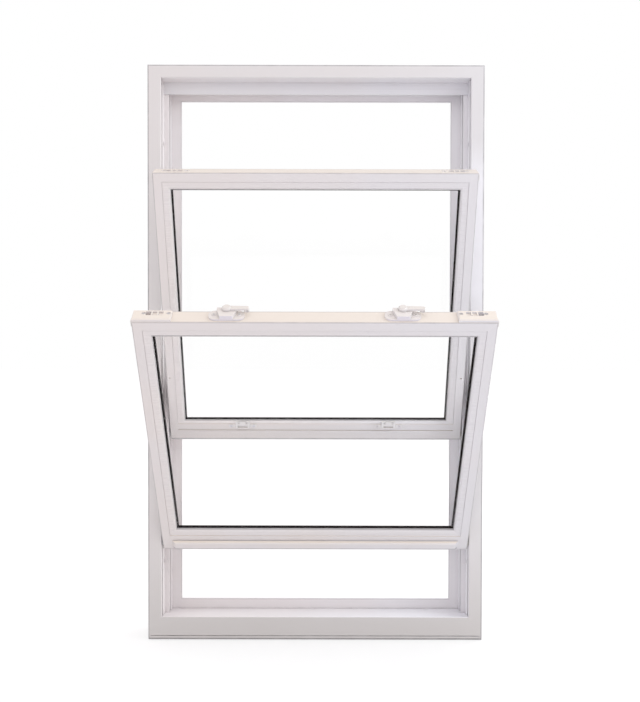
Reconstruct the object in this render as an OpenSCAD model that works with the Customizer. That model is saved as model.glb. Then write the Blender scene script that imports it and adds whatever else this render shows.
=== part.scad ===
// Tilt-in double-hung sash window with its outer frame, seen from the room.
// X runs to the right, Y from the room to the outside and Z up.
// The origin is the middle of the frame's underside.
// Depths are measured from the frame's room face, and sash widths from the sash's outer edge.

/* [Frame] */
// Overall width of the outer frame
frame_w = 711; // [600:1:900]
// Overall height of the outer frame
frame_h = 1219; // [1160:1:1400]
// Width of each jamb's room face
jamb_face = 28.5; // [28:0.5:34]
// Height of the head's room face
head_face = 27; // [25:0.5:32]
// Height of the sill's room face
sill_face = 49; // [44:0.5:56]
// How far the outer track stands in from the inner track
track_step = 9.5; // [8:0.5:14]
// How far the blind stop stands in from the outer track
blind_leg = 21.5; // [14:0.5:28]
// Thickness of the blind stop
blind_t = 6; // [4:0.5:10]
// Length of the parting stop that hangs under the head
stop_drop = 25; // [20:0.5:30]

/* [Sashes] */
// Thickness of both sashes
sash_t = 35; // [34:0.5:40]
// Visible width of a stile
stile_sight = 33.5; // [32:0.5:44]
// Visible height of a top rail
top_sight = 34; // [32:0.5:42]
// Visible height of the lower sash's bottom rail
bottom_sight = 55.5; // [52:0.5:64]
// Visible height of the upper sash's bottom rail
meeting_sight = 45; // [44:0.5:52]
// How far the two meeting rails overlap when shut
meeting_overlap = 40; // [38:0.5:41]
// Reach of the lift ledge in front of the lower sash
ledge_reach = 8.5; // [5:0.5:12]

/* [Hardware] */
// Distance of each lock and keeper from the middle
lock_x = 157; // [130:1:180]
// Length of a lock's base
lock_w = 65; // [60:1:80]
// Length of a lock's lever from its spindle
lever_len = 40; // [32:1:46]
// Length of a tilt latch's case
latch_w = 70; // [66:1:80]
// Distance of each fixing hole from the frame's nearer end
fixing_inset = 160; // [130:1:180]

/* [Pose] */
// How far the lower sash is raised from shut
lower_raise = 142.5; // [110:0.5:165]
// How far the lower sash is tilted into the room
lower_tilt = 34.4; // [33:0.1:42]
// How far the upper sash is lowered from shut
upper_drop = 170; // [150:1:190]
// How far the upper sash is tilted into the room
upper_tilt = 22.1; // [18:0.1:26]

/* [Hidden] */
$fn = 48;

// Colours
vinyl = [0.93, 0.92, 0.91];
bead_vinyl = [0.95, 0.94, 0.93];
cream = [0.95, 0.92, 0.87];
black = [0.10, 0.10, 0.11];
glass = [0.80, 0.88, 0.90, 0.35];
steel = [0.62, 0.63, 0.65];
nylon = [0.86, 0.86, 0.84];
pile_grey = [0.55, 0.55, 0.56];

// Small amount by which a cut runs past the face it opens
over = 1;
LEFT = -1;
RIGHT = 1;
SIDES = [LEFT, RIGHT];

// Frame section: widths from the outer face inwards, depths from the room face outwards
track_gap = 2.5;
stop_t = 3.5;
stop_gap = 2;
track_w = jamb_face + track_step;
blind_w = track_w + blind_leg;
part_d = track_gap + sash_t + stop_gap + stop_t;
blind_d = part_d + track_gap + sash_t + track_gap;
frame_d = blind_d + blind_t;
head_step = 11;
head_leg = 19;
sill_fall = 6.5;
sill_leg = 21.5;
head_track = head_face + head_step;
head_blind = head_track + head_leg;
sill_foot = sill_face - sill_fall;
sill_blind = sill_foot + sill_leg;
edge_r = 2;
base_line_z = 8;
base_line_h = 1.6;
base_line_d = 3;
sill_toe_h = 4;
sill_toe_d = 3.5;

// Balance pockets in the jambs
pocket_w = 20;
slot_w = 14;
pocket_lip = 2.5;
outer_wall = 4;

// Fixing holes through the jambs, between the two pockets
fixing_r = 2.75;
fixing_head_r = 5.5;
fixing_seat = 22;

// Sash sizes: each sash is as wide as its track less a gap at both sides
side_gap = 2.5;
lower_w = frame_w - 2 * (jamb_face + side_gap);
upper_w = frame_w - 2 * (track_w + side_gap);
shut_gap = 5;
head_gap = 3;
lower_shut_z = sill_face + shut_gap;
upper_shut_top = frame_h - head_track - head_gap;
sash_h = (upper_shut_top - lower_shut_z + meeting_overlap) / 2;
upper_shut_z = upper_shut_top - sash_h;

// Pivot: set in from the sash's room face and up from its bottom edge
pivot_in = 10;
pivot_up = 9;
lower_pivot_d = track_gap + pivot_in;
upper_pivot_d = part_d + track_gap + pivot_in;
lower_pivot_z = lower_shut_z + pivot_up + lower_raise;
upper_pivot_z = upper_shut_z + pivot_up - upper_drop;
fixing_d = (lower_pivot_d + upper_pivot_d) / 2;

// Sash frame: the outer edges in its own upright frame, whose origin is the pivot
front_y = -pivot_in;
foot_z = -pivot_up;
top_z = sash_h - pivot_up;
sash_r = 1.5;
rebate = 16;
bite = 13;
leg_fall = 6;
meeting_bead = 7;
meeting_line = 22.5;
glass_in = 8;
pane_t = 3;
cavity_t = 8;
unit_t = 2 * pane_t + cavity_t;
leg_in = glass_in + unit_t;
spacer_show = 2.3;
lower_spacer_sink = 3;
upper_spacer_sink = 0.2;
block_len = 80;
bead_line = 0.8;
bead_seat = 0.5;
bead_slope_w = 4.5;
bead_slope_d = 1.4;
bead_lip_w = 1.2;
bead_lip_d = 3.4;
bead_nose_d = 5.6;

// Lift ledge on the lower sash
ledge_low = 5;
ledge_high = 27;
ledge_root = 2;
ledge_root_deep = 4;
ledge_inset = 20;
ledge_soft = 1.8;

// Small holes in the upper stiles for the vent stops
vent_r = 1.6;
vent_in = 7.5;
vent_up = 147;
vent_deep = 4;

// Weatherstrips
pile_w = 5;
pile_deep = 2.5;
pile_show = 2;
pile_in = 28;
pile_end = 45;
seal_w = 6;
seal_h = 5.5;
seal_in = 27;

// Pivot plates, noses and shoes
plate_t = 4;
plate_front = -7;
plate_back = 9;
plate_low = -7;
plate_high = 43;
nose_r = 5;
nose_fit = 0.05;
nose_in_shoe = 15;
shoe_gap = 0.5;
shoe_low = 18;
shoe_high = 26;

// Spiral balances
rod_w = 6;
rod_t = 1.6;
rod_pitch = 50;
rod_steps = 12;
rod_sides = 4;
tube_r = 6;
tube_bore = 4;
tube_head_gap = 12;
tube_top = frame_h - head_blind - tube_head_gap;
tube_shoe_gap = 16;
rod_overlap = 24;
rod_in = 11.5;
tab_h = 16;
tab_t = 3;
hang_r = 2;
hang_head_r = 4;
hang_head_t = 2.5;
screw_gap = 0.15;
lower_tube_z = upper_shut_z + pivot_up;
upper_tube_z = upper_shut_z + pivot_up + shoe_high + tube_shoe_gap;
lower_rod_len = lower_tube_z + rod_overlap - (lower_shut_z + pivot_up + shoe_high);
upper_rod_len = tube_top - tab_h - (upper_shut_z + pivot_up + shoe_high);

// Tilt latches: a case on the end of the rail, over a sliding bolt with a ribbed button
latch_front = -9;
latch_back = 21;
latch_t = 6;
flush_latch_t = 3.5;
latch_soft = 2;
flush_soft = 0.4;
latch_screw_y = 10;
latch_screw_out = 20;
latch_screw_in = 5.5;
latch_screws = [latch_screw_out, latch_w - latch_screw_in];
screw_seat = 2.4;
screw_seat_gap = 0.3;
button_slot_out = 24;
button_slot_end = 15;
button_slot_in = latch_w - button_slot_end;
button_slot_len = button_slot_in - button_slot_out;
button_slot_front = 4;
button_slot_back = 16;
button_sink = 3;
bolt_w = 12;
bolt_h = 11;
bolt_gap = 0.5;
bolt_len = button_slot_in - bolt_gap;
bolt_show = 2;
bolt_bevel = 5;
bolt_travel = 9;
bolt_arm_t = 3;
button_len = button_slot_len - bolt_travel - 2 * bolt_gap;
rib_t = 2.5;
rib_rise = 0.4;
rib_places = [0.38, 0.88];

// Cam locks
lock_front = -5.5;
lock_back = 23;
lock_flange = 3.5;
lock_house_w = 36;
lock_house_front = 25;
lock_house_r = 3;
lock_house_h = 10.2;
lock_r = 13;
spindle_y = 17;
spindle_r = 4;
spindle_fit = 0.08;
hub_r = 8.5;
hub_dome = 2.2;
lever_t = 3.8;
lever_gap = 0.2;
lever_tip_r = 4.6;
lever_root = 6;
tab_drop = 4;
cam_turn = 150;
cam_r_in = 12.6;
cam_r_out = 14.6;
cam_half = 20;
cam_web = 2.2;
cam_tooth = 4;
cam_lift = 2;
cam_gap = 0.5;
lock_screw_part = 0.33;
lock_screw_x = lock_house_w / 2 + lock_screw_part * (lock_w - lock_house_w) / 2;
lock_screw_y = 9;
screw_r = 2;
screw_head_r = 3.6;
screw_head_t = 1.6;
screw_len = 12;

// Keepers on the upper sash
keeper_w = 60;
keeper_block_w = 30;
keeper_reach = 5.8;
keeper_plate_t = 2;
keeper_low = 31;
keeper_plate_high = 38;
keeper_rise = 5.6;
keeper_high = meeting_overlap + keeper_rise;
keeper_groove = 5;
keeper_pocket_w = 21;
keeper_pocket_h = 5.5;
keeper_wall = 0.8;
keeper_screw_x = 24;
keeper_screw_up = 34.5;
keeper_screw_r = 1.6;
keeper_head_r = 3;
keeper_screw_len = 7;
// Depth from the upper sash's room face to the lower sash's lock spindle when both are shut
spindle_to_upper = part_d + track_gap - (lower_pivot_d + spindle_y);

// A quarter arc of points round a centre
function arc(cx, cy, r, from) =
    [for (turn = [0:22.5:90]) [cx + r * cos(from + turn), cy + r * sin(from + turn)]];

// Stepped section of a frame member: three widths at the two step depths, with soft room edges
function frame_section(face, track, blind) = concat(
    arc(edge_r, edge_r, edge_r, 180),
    arc(face - edge_r, edge_r, edge_r, 270),
    [[face, part_d], [track, part_d], [track, blind_d], [blind, blind_d], [blind, frame_d], [0, frame_d]]
);

// Section of the sill: its tread falls from the soft room edge to the foot of the blind stop
sill_section = concat(
    arc(edge_r, edge_r, edge_r, 180),
    arc(sill_face - edge_r, edge_r, edge_r, 270),
    [[sill_foot, blind_d], [sill_blind, blind_d], [sill_blind, frame_d], [0, frame_d]]
);

// Section of a sash member: a bead seat in front of the glass and a leg behind it that slopes outwards
function sash_section(sight, joint) = concat(
    arc(sash_r, sash_r, sash_r, 180),
    [[joint, 0]],
    joint > sight - rebate ? [[joint, glass_in - bead_seat], [sight - rebate, glass_in - bead_seat]] : [],
    [[sight - rebate, leg_in], [(sight + joint) / 2, leg_in], [joint - leg_fall, sash_t], [0, sash_t]]
);

// Section of a glazing bead, with a line where it meets the sash and a soft lip at the glass
function bead_section(sight, joint) = [
    [joint, 2 * bead_line], [joint + bead_line, bead_line], [sight - bead_slope_w, bead_slope_d],
    [sight - bead_lip_w, bead_lip_d], [sight, bead_nose_d], [sight, glass_in], [joint, glass_in]
];

function swap(points) = [for (p = points) [p[1], p[0]]];

// Extrudes an outline of [depth, height] points along X, centred
module along_x(points, length) {
    translate([-length / 2, 0, 0]) rotate([90, 0, 90]) linear_extrude(length) polygon(points);
}

// Mitre wedge over a rail: its sloping ends pass through the corners where the two sections step
module wedge(width, steps, reach) {
    left = [for (s = steps) [-width / 2 + s[0], s[1]]];
    right = [for (i = [len(steps) - 1 : -1 : 0]) [width / 2 - steps[i][0], steps[i][1]]];
    rotate([90, 0, 0]) linear_extrude(2 * reach, center = true)
        polygon(concat([[-width / 2, 0]], left, right, [[width / 2, 0]]));
}

module on_side(side) {
    if (side == LEFT) mirror([1, 0, 0]) children();
    else children();
}

// The sill before it is grooved: mitred to the jambs' faces and blind stops, with their tracks on its tread
module sill_body() {
    intersection() {
        translate([0, -frame_d / 2, 0]) along_x(swap(sill_section), frame_w);
        wedge(frame_w, [[jamb_face, sill_face], [track_w, sill_face], [blind_w, sill_blind]], frame_d);
    }
}

module head_wedge() {
    translate([0, 0, frame_h]) mirror([0, 0, 1])
        wedge(frame_w, [[jamb_face, head_face], [track_w, head_track], [blind_w, head_blind]], frame_d);
}

module frame_head() color(vinyl) intersection() {
    translate([0, -frame_d / 2, frame_h]) mirror([0, 0, 1])
        along_x(swap(frame_section(head_face, head_track, head_blind)), frame_w);
    head_wedge();
}

module frame_sill() color(vinyl) difference() {
    sill_body();
    translate([-frame_w / 2, -frame_d / 2 - over, base_line_z])
        cube([frame_w, base_line_d + over, base_line_h]);
    sill_toe();
}

// Set-back toe along the foot of the frame, which leaves a shadow line over the floor
module sill_toe() {
    translate([-frame_w / 2 - over, -frame_d / 2 - over, -over])
        cube([frame_w + 2 * over, sill_toe_d + over, sill_toe_h + over]);
}

// Section of a jamb with its two balance pockets, each open to its track by a slot
module jamb_section() {
    difference() {
        polygon(frame_section(jamb_face, track_w, blind_w));
        for (t = [[jamb_face, lower_pivot_d], [track_w, upper_pivot_d]]) {
            translate([outer_wall, t[1] - pocket_w / 2]) square([t[0] - pocket_lip - outer_wall, pocket_w]);
            translate([outer_wall, t[1] - slot_w / 2]) square([t[0] - outer_wall + over, slot_w]);
        }
    }
}

module jamb(side) {
    on_side(side) difference() {
        translate([frame_w / 2, -frame_d / 2, 0]) mirror([1, 0, 0]) linear_extrude(frame_h) jamb_section();
        head_wedge();
        sill_body();
        sill_toe();
        for (z = [fixing_inset, frame_h - fixing_inset])
            translate([frame_w / 2 + over, fixing_d - frame_d / 2, z]) rotate([0, -90, 0]) {
                cylinder(h = jamb_face + 2 * over, r = fixing_r);
                translate([0, 0, fixing_seat + over]) cylinder(h = jamb_face, r = fixing_head_r);
            }
        for (depth = [lower_pivot_d, upper_pivot_d])
            hang_screw_at(depth) cylinder(h = 4 * outer_wall, r = hang_r + screw_gap);
    }
}

module jamb_left() color(vinyl) jamb(LEFT);
module jamb_right() color(vinyl) jamb(RIGHT);

module head_parting_stop() color(bead_vinyl)
    translate([0, part_d - stop_t - frame_d / 2, frame_h - head_face - stop_drop])
        translate([-frame_w / 2 + jamb_face + screw_gap, 0, 0])
            cube([frame_w - 2 * (jamb_face + screw_gap), stop_t, stop_drop]);

// Places children at the hanging screw of a right-hand balance, pointing into the jamb's outer wall
module hang_screw_at(depth) {
    translate([frame_w / 2 - outer_wall, depth - frame_d / 2, tube_top + tab_h / 2])
        rotate([0, 90, 0]) children();
}

// A spiral balance tube under a bent tab that hangs on a screw
module balance(side, depth, low_z) {
    on_side(side) difference() {
        translate([frame_w / 2 - outer_wall, depth - frame_d / 2, 0]) {
            translate([-rod_in, 0, low_z]) cylinder(h = tube_top - low_z, r = tube_r);
            translate([-rod_in, -tube_r, tube_top - tab_t]) cube([rod_in, 2 * tube_r, tab_t]);
            translate([-tab_t, -tube_r, tube_top - tab_t]) cube([tab_t, 2 * tube_r, tab_h + tab_t]);
        }
        translate([frame_w / 2 - outer_wall - rod_in, depth - frame_d / 2, low_z - over])
            cylinder(h = tube_top - low_z - tab_t, r = tube_bore);
        hang_screw_at(depth) translate([0, 0, -tab_t - over])
            cylinder(h = tab_t + 2 * over, r = hang_r + screw_gap);
    }
}

module lower_balance_left() color(vinyl) balance(LEFT, lower_pivot_d, lower_tube_z);
module lower_balance_right() color(vinyl) balance(RIGHT, lower_pivot_d, lower_tube_z);
module upper_balance_left() color(vinyl) balance(LEFT, upper_pivot_d, upper_tube_z);
module upper_balance_right() color(vinyl) balance(RIGHT, upper_pivot_d, upper_tube_z);

module balance_screws() color(steel)
    for (side = SIDES, depth = [lower_pivot_d, upper_pivot_d])
        on_side(side) hang_screw_at(depth) {
            translate([0, 0, -tab_t]) cylinder(h = tab_t + outer_wall - screw_gap, r = hang_r);
            translate([0, 0, -tab_t - hang_head_t]) cylinder(h = hang_head_t, r = hang_head_r);
        }

// Puts children that are drawn about a pivot at that pivot, without the tilt
module lower_carriage() translate([0, lower_pivot_d - frame_d / 2, lower_pivot_z]) children();
module upper_carriage() translate([0, upper_pivot_d - frame_d / 2, upper_pivot_z]) children();
module lower_pose() lower_carriage() rotate([lower_tilt, 0, 0]) children();
module upper_pose() upper_carriage() rotate([upper_tilt, 0, 0]) children();

// A pivot shoe in its pocket, bored for the nose of the pivot bar
module shoe(side, track) {
    face_x = frame_w / 2 - track + pocket_lip + shoe_gap;
    end_x = frame_w / 2 - outer_wall - shoe_gap;
    half = pocket_w / 2 - shoe_gap;
    on_side(side) difference() {
        translate([face_x, -half, -shoe_low]) cube([end_x - face_x, 2 * half, shoe_low + shoe_high]);
        translate([face_x - over, 0, 0]) rotate([0, 90, 0])
            cylinder(h = nose_in_shoe + 2 * over, r = nose_r + nose_fit);
    }
}

// The twisted strip of a spiral balance, standing on its shoe
module rod(side, length) {
    turns = length / rod_pitch;
    on_side(side) translate([frame_w / 2 - outer_wall - rod_in, 0, shoe_high])
        linear_extrude(
            length,
            twist = 360 * turns,
            slices = round(rod_steps * turns),
            segments = rod_sides
        ) square([rod_w, rod_t], center = true);
}

module lower_shoe_left() color(nylon) lower_carriage() shoe(LEFT, jamb_face);
module lower_shoe_right() color(nylon) lower_carriage() shoe(RIGHT, jamb_face);
module upper_shoe_left() color(nylon) upper_carriage() shoe(LEFT, track_w);
module upper_shoe_right() color(nylon) upper_carriage() shoe(RIGHT, track_w);
module lower_rod_left() color(steel) lower_carriage() rod(LEFT, lower_rod_len);
module lower_rod_right() color(steel) lower_carriage() rod(RIGHT, lower_rod_len);
module upper_rod_left() color(steel) upper_carriage() rod(LEFT, upper_rod_len);
module upper_rod_right() color(steel) upper_carriage() rod(RIGHT, upper_rod_len);

// Mitre wedges over the bottom and top rails of a sash, used on the rails, stiles and beads alike
module sash_wedge(width, sight, joint) {
    side_joint = stile_sight - rebate;
    wedge(
        width,
        [[side_joint - leg_fall, joint - leg_fall], [side_joint, joint], [stile_sight, sight]],
        2 * sash_t
    );
}

module bottom_wedge(width, sight, joint) {
    translate([0, 0, foot_z]) sash_wedge(width, sight, joint);
}

module top_wedge(width) {
    translate([0, 0, top_z]) mirror([0, 0, 1]) sash_wedge(width, top_sight, top_sight - rebate);
}

// Channels for the latch bolts, their arms and their cases in the ends of a top rail
module latch_channel(width, sink) {
    deep = bolt_h + 2 * bolt_gap;
    arm_deep = bolt_arm_t + bolt_gap;
    for (side = SIDES) on_side(side) {
        translate([width / 2 - bolt_len - bolt_gap, -bolt_w / 2 - bolt_gap, top_z - sink - deep])
            cube([bolt_len + bolt_gap + over, bolt_w + 2 * bolt_gap, deep + sink + over]);
        translate([width / 2 - button_slot_in, -bolt_w / 2 - bolt_gap, top_z - sink - arm_deep])
            cube([button_slot_len, button_slot_back + bolt_w / 2 + bolt_gap, arm_deep + sink + over]);
        translate([width / 2 - latch_w, latch_front, top_z - sink])
            cube([latch_w + over, latch_back - latch_front, sink + over]);
        for (x = latch_screws) translate([width / 2 - x, latch_screw_y, top_z - sink - screw_len])
            cylinder(h = screw_len + over, r = screw_r + screw_gap);
    }
}

module top_rail(width, sink) {
    difference() {
        intersection() {
            translate([0, front_y, top_z]) mirror([0, 0, 1])
                along_x(swap(sash_section(top_sight, top_sight - rebate)), width);
            top_wedge(width);
        }
        latch_channel(width, sink);
    }
}

// Seats of the two pivot plates in the sash's sides
module plate_seats(width) {
    for (side = SIDES) on_side(side) translate([width / 2 - plate_t, plate_front, plate_low])
        cube([plate_t + over, plate_back - plate_front, plate_high - plate_low]);
}

module bottom_rail(width, sight, joint) {
    difference() {
        intersection() {
            translate([0, front_y, foot_z]) along_x(swap(sash_section(sight, joint)), width);
            bottom_wedge(width, sight, joint);
        }
        plate_seats(width);
    }
}

module stile(side, width, sight, joint, sink) {
    difference() {
        on_side(side) difference() {
            translate([width / 2, front_y, foot_z]) mirror([1, 0, 0])
                linear_extrude(sash_h) polygon(sash_section(stile_sight, stile_sight - rebate));
            translate([width / 2 - pile_deep, front_y + pile_in, foot_z + pile_end])
                cube([pile_deep + over, pile_w, sash_h - 2 * pile_end]);
        }
        plate_seats(width);
        bottom_wedge(width, sight, joint);
        top_wedge(width);
        latch_channel(width, sink);
    }
}

module glazing_beads(width, sight, joint) {
    intersection() {
        translate([0, front_y, foot_z]) along_x(swap(bead_section(sight, joint)), width);
        bottom_wedge(width, sight, joint);
    }
    intersection() {
        translate([0, front_y, top_z]) mirror([0, 0, 1])
            along_x(swap(bead_section(top_sight, top_sight - rebate)), width);
        top_wedge(width);
    }
    for (side = SIDES) difference() {
        on_side(side) translate([width / 2, front_y, foot_z]) mirror([1, 0, 0])
            linear_extrude(sash_h) polygon(bead_section(stile_sight, stile_sight - rebate));
        bottom_wedge(width, sight, joint);
        top_wedge(width);
    }
}

// A rectangle of the glass unit between two depths behind the sash's face, drawn in by a margin and lowered
module unit_slab(width, sight, from, to, margin, sink = 0) {
    half = width / 2 - stile_sight + bite - margin;
    low = foot_z + sight - bite + margin - sink;
    high = top_z - top_sight + bite - margin;
    translate([-half, front_y + from, low]) cube([2 * half, to - from, high - low]);
}

module pane(width, sight, from) unit_slab(width, sight, from, from + pane_t, 0);

// The spacer shows beside the stiles, and its bar along the bottom sits below the bead's top
module spacer(width, sight, sink) {
    from = glass_in + pane_t;
    difference() {
        unit_slab(width, sight, from, from + cavity_t, 0);
        unit_slab(width, sight, from - over, from + cavity_t + over, bite + spacer_show, spacer_show + sink);
    }
}

module setting_blocks(width, sight) {
    for (x = [-width / 4, width / 4])
        translate([x - block_len / 2, front_y + glass_in, foot_z + sight - rebate])
            cube([block_len, unit_t, rebate - bite]);
}

// A pivot plate let into the stile's side, with the round nose that turns in the shoe
module pivot(side, width, track) {
    nose_end = frame_w / 2 - track + pocket_lip + shoe_gap + nose_in_shoe;
    on_side(side) {
        translate([width / 2 - plate_t, plate_front, plate_low])
            cube([plate_t, plate_back - plate_front, plate_high - plate_low]);
        translate([width / 2 - plate_t / 2, 0, 0]) rotate([0, 90, 0])
            cylinder(h = nose_end - width / 2 + plate_t / 2, r = nose_r);
    }
}

module pile(width) {
    for (side = SIDES) on_side(side) translate([width / 2 - pile_deep, front_y + pile_in, foot_z + pile_end])
        cube([pile_deep + pile_show, pile_w, sash_h - 2 * pile_end]);
}

// A tilt latch's case: a block with soft upper edges, a long slot for the button and two screw seats
module latch_case(side, width, sink, t, soft) {
    on_side(side) difference() {
        translate([width / 2 - latch_w / 2, 0, top_z - sink]) intersection() {
            along_x([
                [latch_front, 0], [latch_back, 0], [latch_back, t - soft], [latch_back - soft, t],
                [latch_front + soft, t], [latch_front, t - soft]
            ], latch_w);
            rotate([90, 0, 0]) linear_extrude(2 * latch_w, center = true) polygon([
                [-latch_w / 2, 0], [latch_w / 2, 0], [latch_w / 2, t - soft], [latch_w / 2 - soft, t],
                [soft - latch_w / 2, t], [-latch_w / 2, t - soft]
            ]);
        }
        translate([width / 2 - button_slot_in, button_slot_front, top_z - sink - over])
            cube([button_slot_len, button_slot_back - button_slot_front, t + 2 * over]);
        latch_screws_at(width, sink, t) {
            translate([0, 0, -t]) cylinder(h = t + over, r = screw_r + screw_gap);
            cylinder(h = screw_seat + over, r = screw_head_r + screw_seat_gap);
        }
    }
}

// Places children at the two screw seats of a right-hand latch
module latch_screws_at(width, sink, t) {
    for (x = latch_screws)
        translate([width / 2 - x, latch_screw_y, top_z - sink + t - screw_seat]) children();
}

// The sliding bolt under the case, bevelled on its outside corner, with an arm to its ribbed button
module latch_bolt(side, width, sink, t) {
    seat_z = top_z - sink;
    end = width / 2 + bolt_show;
    start = width / 2 - bolt_len;
    arm_w = button_slot_back - bolt_gap + bolt_w / 2;
    button_w = button_slot_back - button_slot_front - 2 * bolt_gap;
    on_side(side) {
        translate([0, 0, seat_z - bolt_h - bolt_gap]) linear_extrude(bolt_h) polygon([
            [start, -bolt_w / 2], [end, -bolt_w / 2], [end, 0],
            [end - bolt_bevel, bolt_w / 2], [start, bolt_w / 2]
        ]);
        translate([start, -bolt_w / 2, seat_z - bolt_arm_t])
            cube([button_len, arm_w, bolt_arm_t - bolt_gap]);
        translate([start, button_slot_front + bolt_gap, seat_z - bolt_arm_t])
            cube([button_len, button_w, bolt_arm_t + t - button_sink]);
        for (place = rib_places)
            translate([start + place * button_len, button_slot_front + bolt_gap, seat_z - bolt_arm_t])
                cube([rib_t, button_w, bolt_arm_t + t + rib_rise]);
    }
}

// One screw standing on a surface at its own origin, pointing down into it
module screw(length, shank, head) {
    translate([0, 0, -length + screw_gap]) cylinder(h = length - screw_gap, r = shank);
    cylinder(h = screw_head_t, r = head);
}

// A rectangle with round corners, drawn with true arcs
module round_plate(x0, x1, y0, y1, r) {
    translate([x0 + r, y0]) square([x1 - x0 - 2 * r, y1 - y0]);
    translate([x0, y0 + r]) square([x1 - x0, y1 - y0 - 2 * r]);
    for (x = [x0 + r, x1 - r], y = [y0 + r, y1 - r]) translate([x, y]) circle(r);
}

// A ring sector about the origin, between two radii and two angles
module sector(r0, r1, from, to) {
    intersection() {
        difference() {
            circle(r1);
            circle(r0);
        }
        polygon([[0, 0], 2 * r1 * [cos(from), sin(from)], 2 * r1 * [cos(to), sin(to)]]);
    }
}

// Plan of a lock's housing: widest over the spindle and drawn in towards the room
module lock_house_plan() {
    back = lock_house_w / 2;
    front = lock_house_front / 2;
    polygon(concat(
        arc(lock_house_r - front, lock_front + lock_house_r, lock_house_r, 180),
        arc(front - lock_house_r, lock_front + lock_house_r, lock_house_r, 270),
        [[back, spindle_y], [back, lock_back], [-back, lock_back], [-back, spindle_y]]
    ));
}

// Lock base: a screwed flange under a housing that covers the cam and is open to the outside
module lock_base(side) {
    cavity_h = cam_lift + cam_tooth + cam_web + cam_gap;
    translate([side * lock_x, 0, top_z]) difference() {
        union() {
            linear_extrude(lock_flange) round_plate(-lock_w / 2, lock_w / 2, lock_front, lock_back, lock_r);
            linear_extrude(lock_house_h) lock_house_plan();
        }
        translate([0, spindle_y, -over]) cylinder(h = cavity_h + over, r = cam_r_out + cam_gap);
        translate([0, spindle_y, 0]) cylinder(h = lock_house_h + over, r = spindle_r + spindle_fit);
        for (x = [-lock_screw_x, lock_screw_x]) translate([x, lock_screw_y, -over])
            cylinder(h = lock_flange + 2 * over, r = screw_r + screw_gap);
    }
}

// Lock lever with its spindle, and the toothed cam that hooks behind the keeper's lip
module lock_lever(side) {
    rest = 90 + cam_turn;
    translate([side * lock_x, spindle_y, top_z]) {
        translate([0, 0, lock_house_h + lever_gap]) linear_extrude(lever_t) {
            circle(hub_r);
            polygon([[0, -lever_root], [lever_len - lever_tip_r, -lever_tip_r],
                [lever_len - lever_tip_r, lever_tip_r], [0, lever_root]]);
            translate([lever_len - lever_tip_r, 0]) circle(lever_tip_r);
        }
        translate([0, 0, lock_house_h + lever_gap + lever_t])
            cylinder(h = hub_dome, r1 = hub_r, r2 = hub_r - hub_dome);
        translate([lever_len - lever_tip_r, 0, lock_house_h + lever_gap - tab_drop])
            cylinder(h = tab_drop + lever_t / 2, r = lever_tip_r);
        translate([0, 0, cam_lift + cam_tooth])
            cylinder(h = lock_house_h + lever_gap + lever_t / 2 - cam_lift - cam_tooth, r = spindle_r);
        translate([0, 0, cam_lift + cam_tooth]) linear_extrude(cam_web)
            sector(spindle_r / 2, cam_r_out, rest - cam_half, rest + cam_half);
        translate([0, 0, cam_lift]) linear_extrude(cam_tooth + cam_web / 2)
            sector(cam_r_in, cam_r_out, rest - cam_half, rest + cam_half);
    }
}

// A keeper: a plate with two wings and a block whose curved groove takes the cam's tooth
module keeper(side) {
    groove_y = front_y - spindle_to_upper;
    translate([side * lock_x, 0, foot_z]) difference() {
        union() {
            translate([-keeper_w / 2, front_y - keeper_plate_t, keeper_low])
                cube([keeper_w, keeper_plate_t, keeper_plate_high - keeper_low]);
            translate([-keeper_block_w / 2, front_y - keeper_reach, keeper_low])
                cube([keeper_block_w, keeper_reach, keeper_high - keeper_low]);
        }
        translate([0, groove_y, keeper_high - keeper_groove]) linear_extrude(keeper_groove + over)
            difference() {
                circle(cam_r_out + cam_gap);
                circle(cam_r_in - cam_gap);
            }
        translate([-keeper_pocket_w / 2, front_y - keeper_reach - over, keeper_low + keeper_wall])
            cube([keeper_pocket_w, keeper_reach - keeper_plate_t + over, keeper_pocket_h]);
        for (x = [-keeper_screw_x, keeper_screw_x]) keeper_screw_at(x)
            translate([0, 0, -keeper_plate_t - over])
                cylinder(h = keeper_plate_t + 2 * over, r = keeper_screw_r + screw_gap);
    }
}

// Places children at a keeper's screw, on the face of its plate and pointing into the rail
module keeper_screw_at(x) {
    translate([x, front_y - keeper_plate_t, keeper_screw_up]) rotate([90, 0, 0]) children();
}

// Lower sash
lower_joint = bottom_sight - rebate;

module lower_top_rail() color(cream) lower_pose() difference() {
    top_rail(lower_w, 0);
    for (side = SIDES, x = [-lock_screw_x, lock_screw_x])
        translate([side * lock_x + x, lock_screw_y, top_z - screw_len])
            cylinder(h = screw_len + over, r = screw_r + screw_gap);
}

// Bottom rail with its lift ledge, whose ends are bevelled
module lower_bottom_rail() color(vinyl) lower_pose() {
    reach = front_y - ledge_reach;
    half = lower_w / 2 - ledge_inset;
    bottom_rail(lower_w, bottom_sight, lower_joint);
    intersection() {
        translate([0, 0, foot_z]) along_x([
            [front_y + over, ledge_low], [front_y, ledge_low], [reach + ledge_soft, ledge_low + ledge_soft],
            [reach, ledge_low + 2 * ledge_soft], [reach, ledge_high - 2 * ledge_soft],
            [reach + ledge_soft, ledge_high - ledge_soft / 2],
            [front_y - ledge_root, ledge_high], [front_y - ledge_root, ledge_high - ledge_root_deep],
            [front_y, ledge_high - ledge_root_deep], [front_y + over, ledge_high - ledge_root_deep]
        ], 2 * half);
        translate([0, 0, foot_z]) linear_extrude(2 * ledge_high) polygon([
            [-half, front_y + over], [-half, front_y], [-half + ledge_reach, reach],
            [half - ledge_reach, reach], [half, front_y], [half, front_y + over]
        ]);
    }
}

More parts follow.
